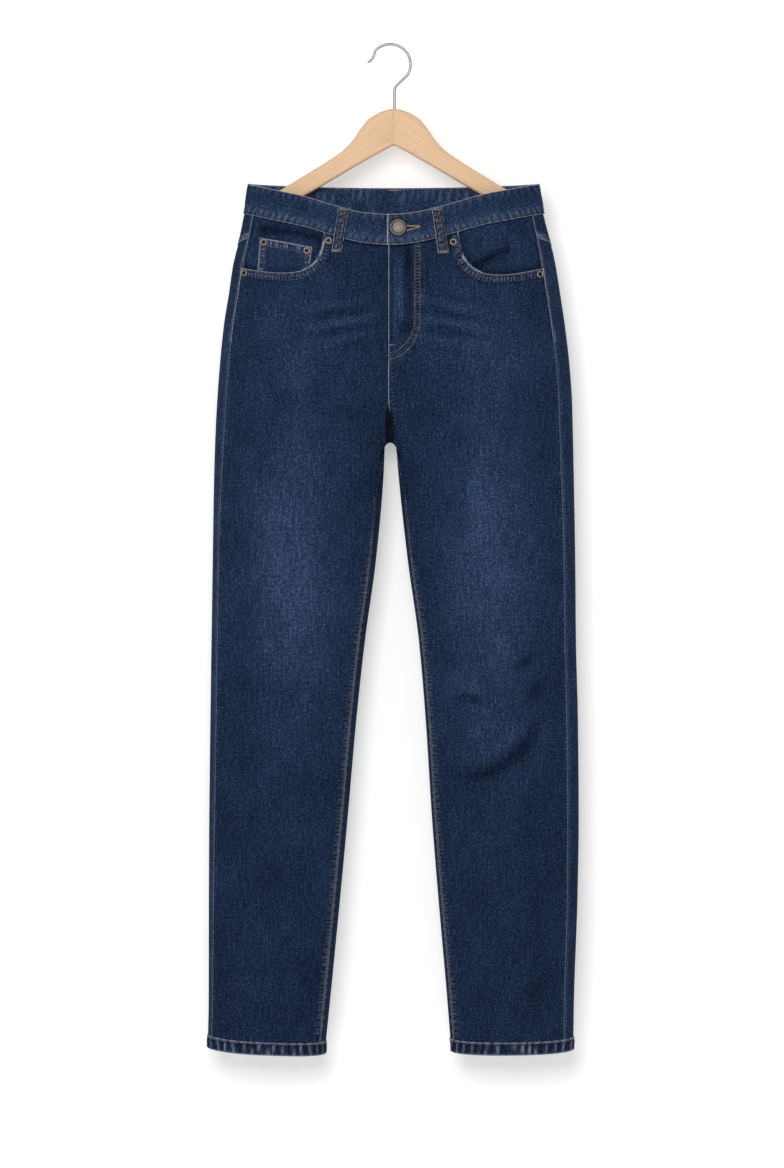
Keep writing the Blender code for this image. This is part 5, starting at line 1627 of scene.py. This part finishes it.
ANTIQUE_BRASS = metal("antique_brass_rivet", "#ABA398", "#2A2523", 0.48, 0.0016)
places, alongs, outs = [], [], []
for x, z, on_coin in RIVETS.values():
    out = outward_at(x, z)
    lift = (-DENIM - LAYER_GAP if on_coin else 0.0) + SEAM_GAP + 0.2 + 0.5 * abs(out[0])
    places.append(point_at_x(x, z, lift))
    alongs.append((-out[1], out[0], 0.0))
    outs.append(out)
rivets = grown("rivets", rivet_tree(), places, alongs, outs,
               {"Radius": 0.0042, "Height": 0.0013, "Metal": ANTIQUE_BRASS}, "antique_brass")
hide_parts(*RIVETS)
print(rivets.name, len(rivets.data.polygons), "faces")

# %% Teeth of the zip
def teeth_tree():
    tree, given = new_tree("zip_teeth", [("Across", "Float"), ("Along", "Float"), ("Height", "Float"),
                                         ("Metal", "Material")])
    size = add(tree, "ShaderNodeCombineXYZ", {0: given["Along"], 1: given["Across"], 2: given["Height"]})
    tooth = add(tree, "GeometryNodeMeshCube", {"Size": size.outputs[0]}).outputs[0]
    placed = add(tree, "GeometryNodeInstanceOnPoints", {"Points": given["Geometry"], "Instance": tooth,
                                                        "Rotation": along_and_out(tree)})
    return finish_tree(tree, placed.outputs[0], given["Metal"])


TOOTH_PITCH = 1.15
rows = np.arange(-238.0, -343.0, -TOOTH_PITCH)
teeth_x = FLY["zip_x"] + np.where(np.arange(len(rows)) % 2, 1.0, -1.0)
places = point_at_x(teeth_x, rows, zip_lift - FLY["thick"] / 2)
out = point_at_x(teeth_x, rows, zip_lift + 1.0) - point_at_x(teeth_x, rows, zip_lift)
grown("zip_teeth", teeth_tree(), places, np.tile((0.0, 0.0, -1.0), (len(rows), 1)), out,
      {"Across": 0.0034, "Along": 0.0009, "Height": 0.0015, "Metal": ANTIQUE_BRASS}, "antique_brass")
print("zip teeth:", len(rows))

# %% [markdown]
# ## The hanger
# Two beech arms, glued at a centre seam and rounded along their edges, with a chromed wire hook. Beech is
# pale and even, with short darker flecks along the grain. An arm is a flat outline given thickness and a
# round edge, which is what a 2D curve with a bevel makes, cut off square at the glued seam. The chrome lies
# on drawn steel wire that was never polished, so it shows as an even grey without sharp reflections.

# %% Build the arms
ARM_THICK, ARM_ROUNDING = 12.0, 3.2
ARM_TOP = ((-7.2, -74.6), (-24.4, -83.8), (-34.5, -96.6), (-43.5, -110.6), (-57.4, -124.6), (-126.8, -166.6))
ARM_TIP = ((-155.5, -183.2), (-163.0, -187.3), (-165.3, -192.0), (-163.2, -197.6), (-156.0, -201.3),
           (-143.5, -199.0))
ARM_UNDER = (-99.9, -173.8)
ARM_NECK_Z, ARM_APEX_Z, ARM_TIP_CORNER, ARM_SPAN = -71.6, -113.3, 2.15, 104.6
ARM_SLOPE, ARM_JOINT = (0.86, -0.51), 0.91


def rounded_path(points, rounds=3):
    """Cuts the corners of an open path again and again, until they are round."""
    points = np.array(points, float)
    for _ in range(rounds):
        a, b = points[:-1], points[1:]
        cut = np.stack([a * 0.78 + b * 0.22, a * 0.22 + b * 0.78], axis=1).reshape(-1, 2)
        points = np.vstack([points[:1], cut[1:-1], points[-1:]])
    return points


def arm(side):
    seam = CENTRE_X - SEAM_GAP / 2
    tip_x, tip_z = ARM_TIP[2]
    inside = float(outer_edge(side, tip_z)) - SIGN[side] * (WAISTBAND / 2 + ARM_TIP_CORNER)
    reach = abs(inside - CENTRE_X) / (CENTRE_X - tip_x)
    beyond = seam + 8.0
    drawn = [(beyond, ARM_NECK_Z), *ARM_TOP, *ARM_TIP, ARM_UNDER, (seam, ARM_APEX_Z), (beyond, ARM_APEX_Z)]
    path = rounded_path(drawn)
    inner_reach = 1 + (reach - 1) * ease((CENTRE_X - path[:, 0]) / ARM_SPAN)
    stretch = np.where(path[:, 0] < ARM_UNDER[0], reach, inner_reach)
    path[:, 0] = CENTRE_X - SIGN[side] * (path[:, 0] - CENTRE_X) * stretch
    curve = bpy.data.curves.new("arm_outline", "CURVE")
    curve.dimensions = "2D"
    curve.fill_mode = "BOTH"
    curve.extrude = (ARM_THICK / 2 - ARM_ROUNDING) * MM
    curve.bevel_depth = ARM_ROUNDING * MM
    curve.bevel_resolution = 5
    curve.offset = -ARM_ROUNDING * MM
    line = curve.splines.new("POLY")
    line.points.add(len(path) - 1)
    line.use_cyclic_u = True
    for point, (x, z) in zip(line.points, path):
        point.co = (x * MM, z * MM, 0, 1)
    bm = bmesh.new()
    bm.from_mesh(plain_mesh(linked("arm_outline", curve), "arm_outline"))
    for vert in bm.verts:
        vert.co = Vector((vert.co.x, -vert.co.z, vert.co.y))
    bmesh.ops.remove_doubles(bm, verts=bm.verts, dist=1e-6)
    plane_x = CENTRE_X + SIGN[side] * 0.02
    bmesh.ops.bisect_plane(bm, geom=bm.verts[:] + bm.edges[:] + bm.faces[:],
                           plane_co=((plane_x + SIGN[side] * 0.7) * MM, 0, 0), plane_no=(1, 0, 0))
    cut = bmesh.ops.bisect_plane(bm, geom=bm.verts[:] + bm.edges[:] + bm.faces[:],
                                 plane_co=(plane_x * MM, 0, 0), plane_no=(SIGN[side], 0, 0), clear_inner=True)
    edges = [item for item in cut["geom_cut"] if isinstance(item, bmesh.types.BMEdge)]
    for item in cut["geom_cut"]:
        if isinstance(item, bmesh.types.BMVert):
            item.co.y *= ARM_JOINT
    bmesh.ops.holes_fill(bm, edges=edges, sides=0)
    bmesh.ops.recalc_face_normals(bm, faces=bm.faces)
    grain = bm.loops.layers.uv.new("grain")
    slope = np.array([ARM_SLOPE[0] * SIGN[side], ARM_SLOPE[1]])
    for face in bm.faces:
        for loop in face.loops:
            x, y, z = loop.vert.co
            loop[grain].uv = (x * slope[0] + z * slope[1], z * slope[0] - x * slope[1] + y)
    made = bpy.data.meshes.new("arm_" + side)
    bm.to_mesh(made)
    bm.free()
    made.shade_smooth()
    made.set_sharp_from_angle(angle=math.radians(40))
    obj = linked("wood_arm_" + side, made)
    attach(obj, "root")
    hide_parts("hanger_arm_" + side)
    return obj


def beech():
    made, tree, shader = new_material("lacquered_beech")
    grain = add(tree, "ShaderNodeUVMap", {}, uv_map="grain").outputs[0]
    fibre = add(tree, "ShaderNodeMapping", {0: grain, "Scale": (22, 360, 1)}).outputs[0]
    fleck = add(tree, "ShaderNodeMapping", {0: grain, "Scale": (260, 1500, 1)}).outputs[0]
    bands = add(tree, "ShaderNodeTexNoise", {"Vector": fibre, "Scale": 1.0, "Detail": 3.0}).outputs[0]
    flecks = add(tree, "ShaderNodeTexNoise", {"Vector": fleck, "Scale": 1.0, "Detail": 1.0}).outputs[0]
    base = add(tree, "ShaderNodeMix", {0: bands, 6: linear("#DAAE85"), 7: linear("#EECFAB")},
               data_type="RGBA").outputs[2]
    marks = add(tree, "ShaderNodeMath", {0: flecks, 1: 5.0, 2: -2.8}, operation="MULTIPLY_ADD",
                use_clamp=True).outputs[0]
    marks = add(tree, "ShaderNodeMath", {0: marks, 1: 0.5}, operation="MULTIPLY").outputs[0]
    colour = add(tree, "ShaderNodeMix", {0: marks, 6: base, 7: linear("#BE8F63")},
                 data_type="RGBA").outputs[2]
    pores = add(tree, "ShaderNodeBump", {"Height": bands, "Strength": 0.15, "Distance": 0.0004}).outputs[0]
    fill(tree, shader, {"Base Color": colour, "Normal": pores, "Roughness": 0.55, "Specular IOR Level": 0.2})
    return made


BEECH = beech()
for side in SIGN:
    obj = arm(side)
    obj.data.materials.append(BEECH)
    print(obj.name, len(obj.data.polygons), "faces")

# %% Bend the hook
WIRE, HOOK_RADIUS, SHANK_X, SHANK_DEPTH = 3.0, 23.3, 5.2, 8.0


def tube(name, path, radius, sides=20):
    """A round wire along a path of x and z, with domed ends."""
    path = np.asarray(path, float)
    along = np.gradient(path, axis=0)
    along /= np.linalg.norm(along, axis=1)[:, None]
    dome = np.linspace(0.05, 1, 6)[:-1]
    ends = [path[0] - along[0] * radius * (1 - d) for d in dome], [path[-1] + along[-1] * radius * (1 - d)
                                                                 for d in dome[::-1]]
    sizes = np.concatenate([np.sqrt(1 - (1 - dome) ** 2), np.ones(len(path)),
                            np.sqrt(1 - (1 - dome[::-1]) ** 2)]) * radius
    middle = np.vstack([ends[0], path, ends[1]])
    along = np.vstack([[along[0]] * len(dome), along, [along[-1]] * len(dome)])
    turn = np.arange(sides) * 2 * math.pi / sides
    return linked(name, round_solid(name, [
        np.stack([m[0] - t[1] * r * np.cos(turn), r * np.sin(turn), m[1] + t[0] * r * np.cos(turn)], axis=1)
        for m, t, r in zip(middle, along, sizes)]))


turns = np.radians(np.linspace(138.0, -30.0, 60))
arc = np.stack([0.4 + HOOK_RADIUS * np.cos(turns),
                WIRE / 2 - HOOK_RADIUS + HOOK_RADIUS * np.sin(turns)], axis=1)
tip = bezier([(-24.4, -18.9), (-21.4, -17.4), (-18.6, -14.0), arc[0]], np.linspace(0, 1, 10))[:-1]
bend = bezier([(SHANK_X + 1.9, -46.6), (SHANK_X + 0.2, -48.4), (SHANK_X, -52.0), (SHANK_X, -56.0)],
              np.linspace(0, 1, 12))
hook = tube("wire_hook", np.vstack([tip, arc, bend, [(SHANK_X, ARM_NECK_Z - SHANK_DEPTH)]]), WIRE / 2)
made, tree, shader = new_material("chromed_steel_wire")
fill(tree, shader, {"Roughness": 0.30, "Base Color": linear("#8E9093"), "Metallic": 1.0})
hook.data.materials.append(made)
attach(hook, "root")
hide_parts("hanger_hook")
print(hook.name, len(hook.data.polygons), "faces")

# %% [markdown]
# ## Studio
# The garment hangs in front of a white wall in soft light from the upper left. The wall is plain and
# one-sided, so that a view from behind isn't blocked. A long lens, straight on, keeps the outline flat.

# %% Wall, floor, light and camera
def sheet_of_stage(name, corners, colour, glow, one_sided):
    mesh = bpy.data.meshes.new(name)
    mesh.from_pydata(corners, [], [(0, 1, 2, 3)])
    obj = linked(name, mesh)
    made, tree, shader = new_material(name + "_paint")
    fill(tree, shader, {"Base Color": linear(colour), "Roughness": 0.95, "Specular IOR Level": 0.1,
                        "Emission Color": linear("#FFFFFF"), "Emission Strength": glow})
    if one_sided:
        facing_away = add(tree, "ShaderNodeNewGeometry", {}).outputs["Backfacing"]
        clear = add(tree, "ShaderNodeBsdfTransparent", {}).outputs[0]
        both = add(tree, "ShaderNodeMixShader", {0: facing_away, 1: shader.outputs[0], 2: clear}).outputs[0]
        tree.links.new(both, tree.nodes["Material Output"].inputs["Surface"])
    obj.data.materials.append(made)


FLOOR_Z, WALL_Y = -1.36, 0.058
sheet_of_stage("floor", [(-6, -7, FLOOR_Z), (6, -7, FLOOR_Z), (6, 7, FLOOR_Z), (-6, 7, FLOOR_Z)],
               "#F2F2F1", 0.0, False)
sheet_of_stage("wall", [(-4, WALL_Y, FLOOR_Z), (4, WALL_Y, FLOOR_Z), (4, WALL_Y, 2.2), (-4, WALL_Y, 2.2)],
               "#E2E2E1", 0.39, True)


def softbox(name, place, target, size, power):
    light = bpy.data.lights.new(name, "AREA")
    light.shape = "RECTANGLE"
    light.size, light.size_y = size
    light.energy = power
    obj = linked(name, light)
    obj.location = place
    obj.rotation_euler = (Vector(target) - Vector(place)).to_track_quat("-Z", "Y").to_euler()


softbox("key", place=(-0.405, -3.24, 0.317), target=(0.05, 0, -0.62), size=(1.4, 1.4), power=68)
world = bpy.data.worlds.new("studio")
world.use_nodes = True
fill(world.node_tree, world.node_tree.nodes["Background"], {"Color": linear("#FFFFFF"), "Strength": 0.28})
bpy.context.scene.world = world

DISTANCE, FRAME_HEIGHT, SENSOR = 6.0, 1.3432, 36.0
camera_data = bpy.data.cameras.new("camera")
camera_data.sensor_width = SENSOR
camera_data.sensor_fit = "AUTO"
camera_data.lens = SENSOR * DISTANCE / FRAME_HEIGHT
camera_data.clip_end = 60.0
camera = linked("camera", camera_data)
camera.location = (0.0024, -DISTANCE, -0.6193)
camera.rotation_euler = (math.pi / 2, 0, 0)
bpy.context.scene.camera = camera
bpy.context.scene.view_settings.view_transform = "Standard"


triangles = sum(len(polygon.vertices) - 2 for obj in bpy.data.objects if obj.type == "MESH"
                for polygon in obj.data.polygons)
print("triangles in the scene:", triangles)
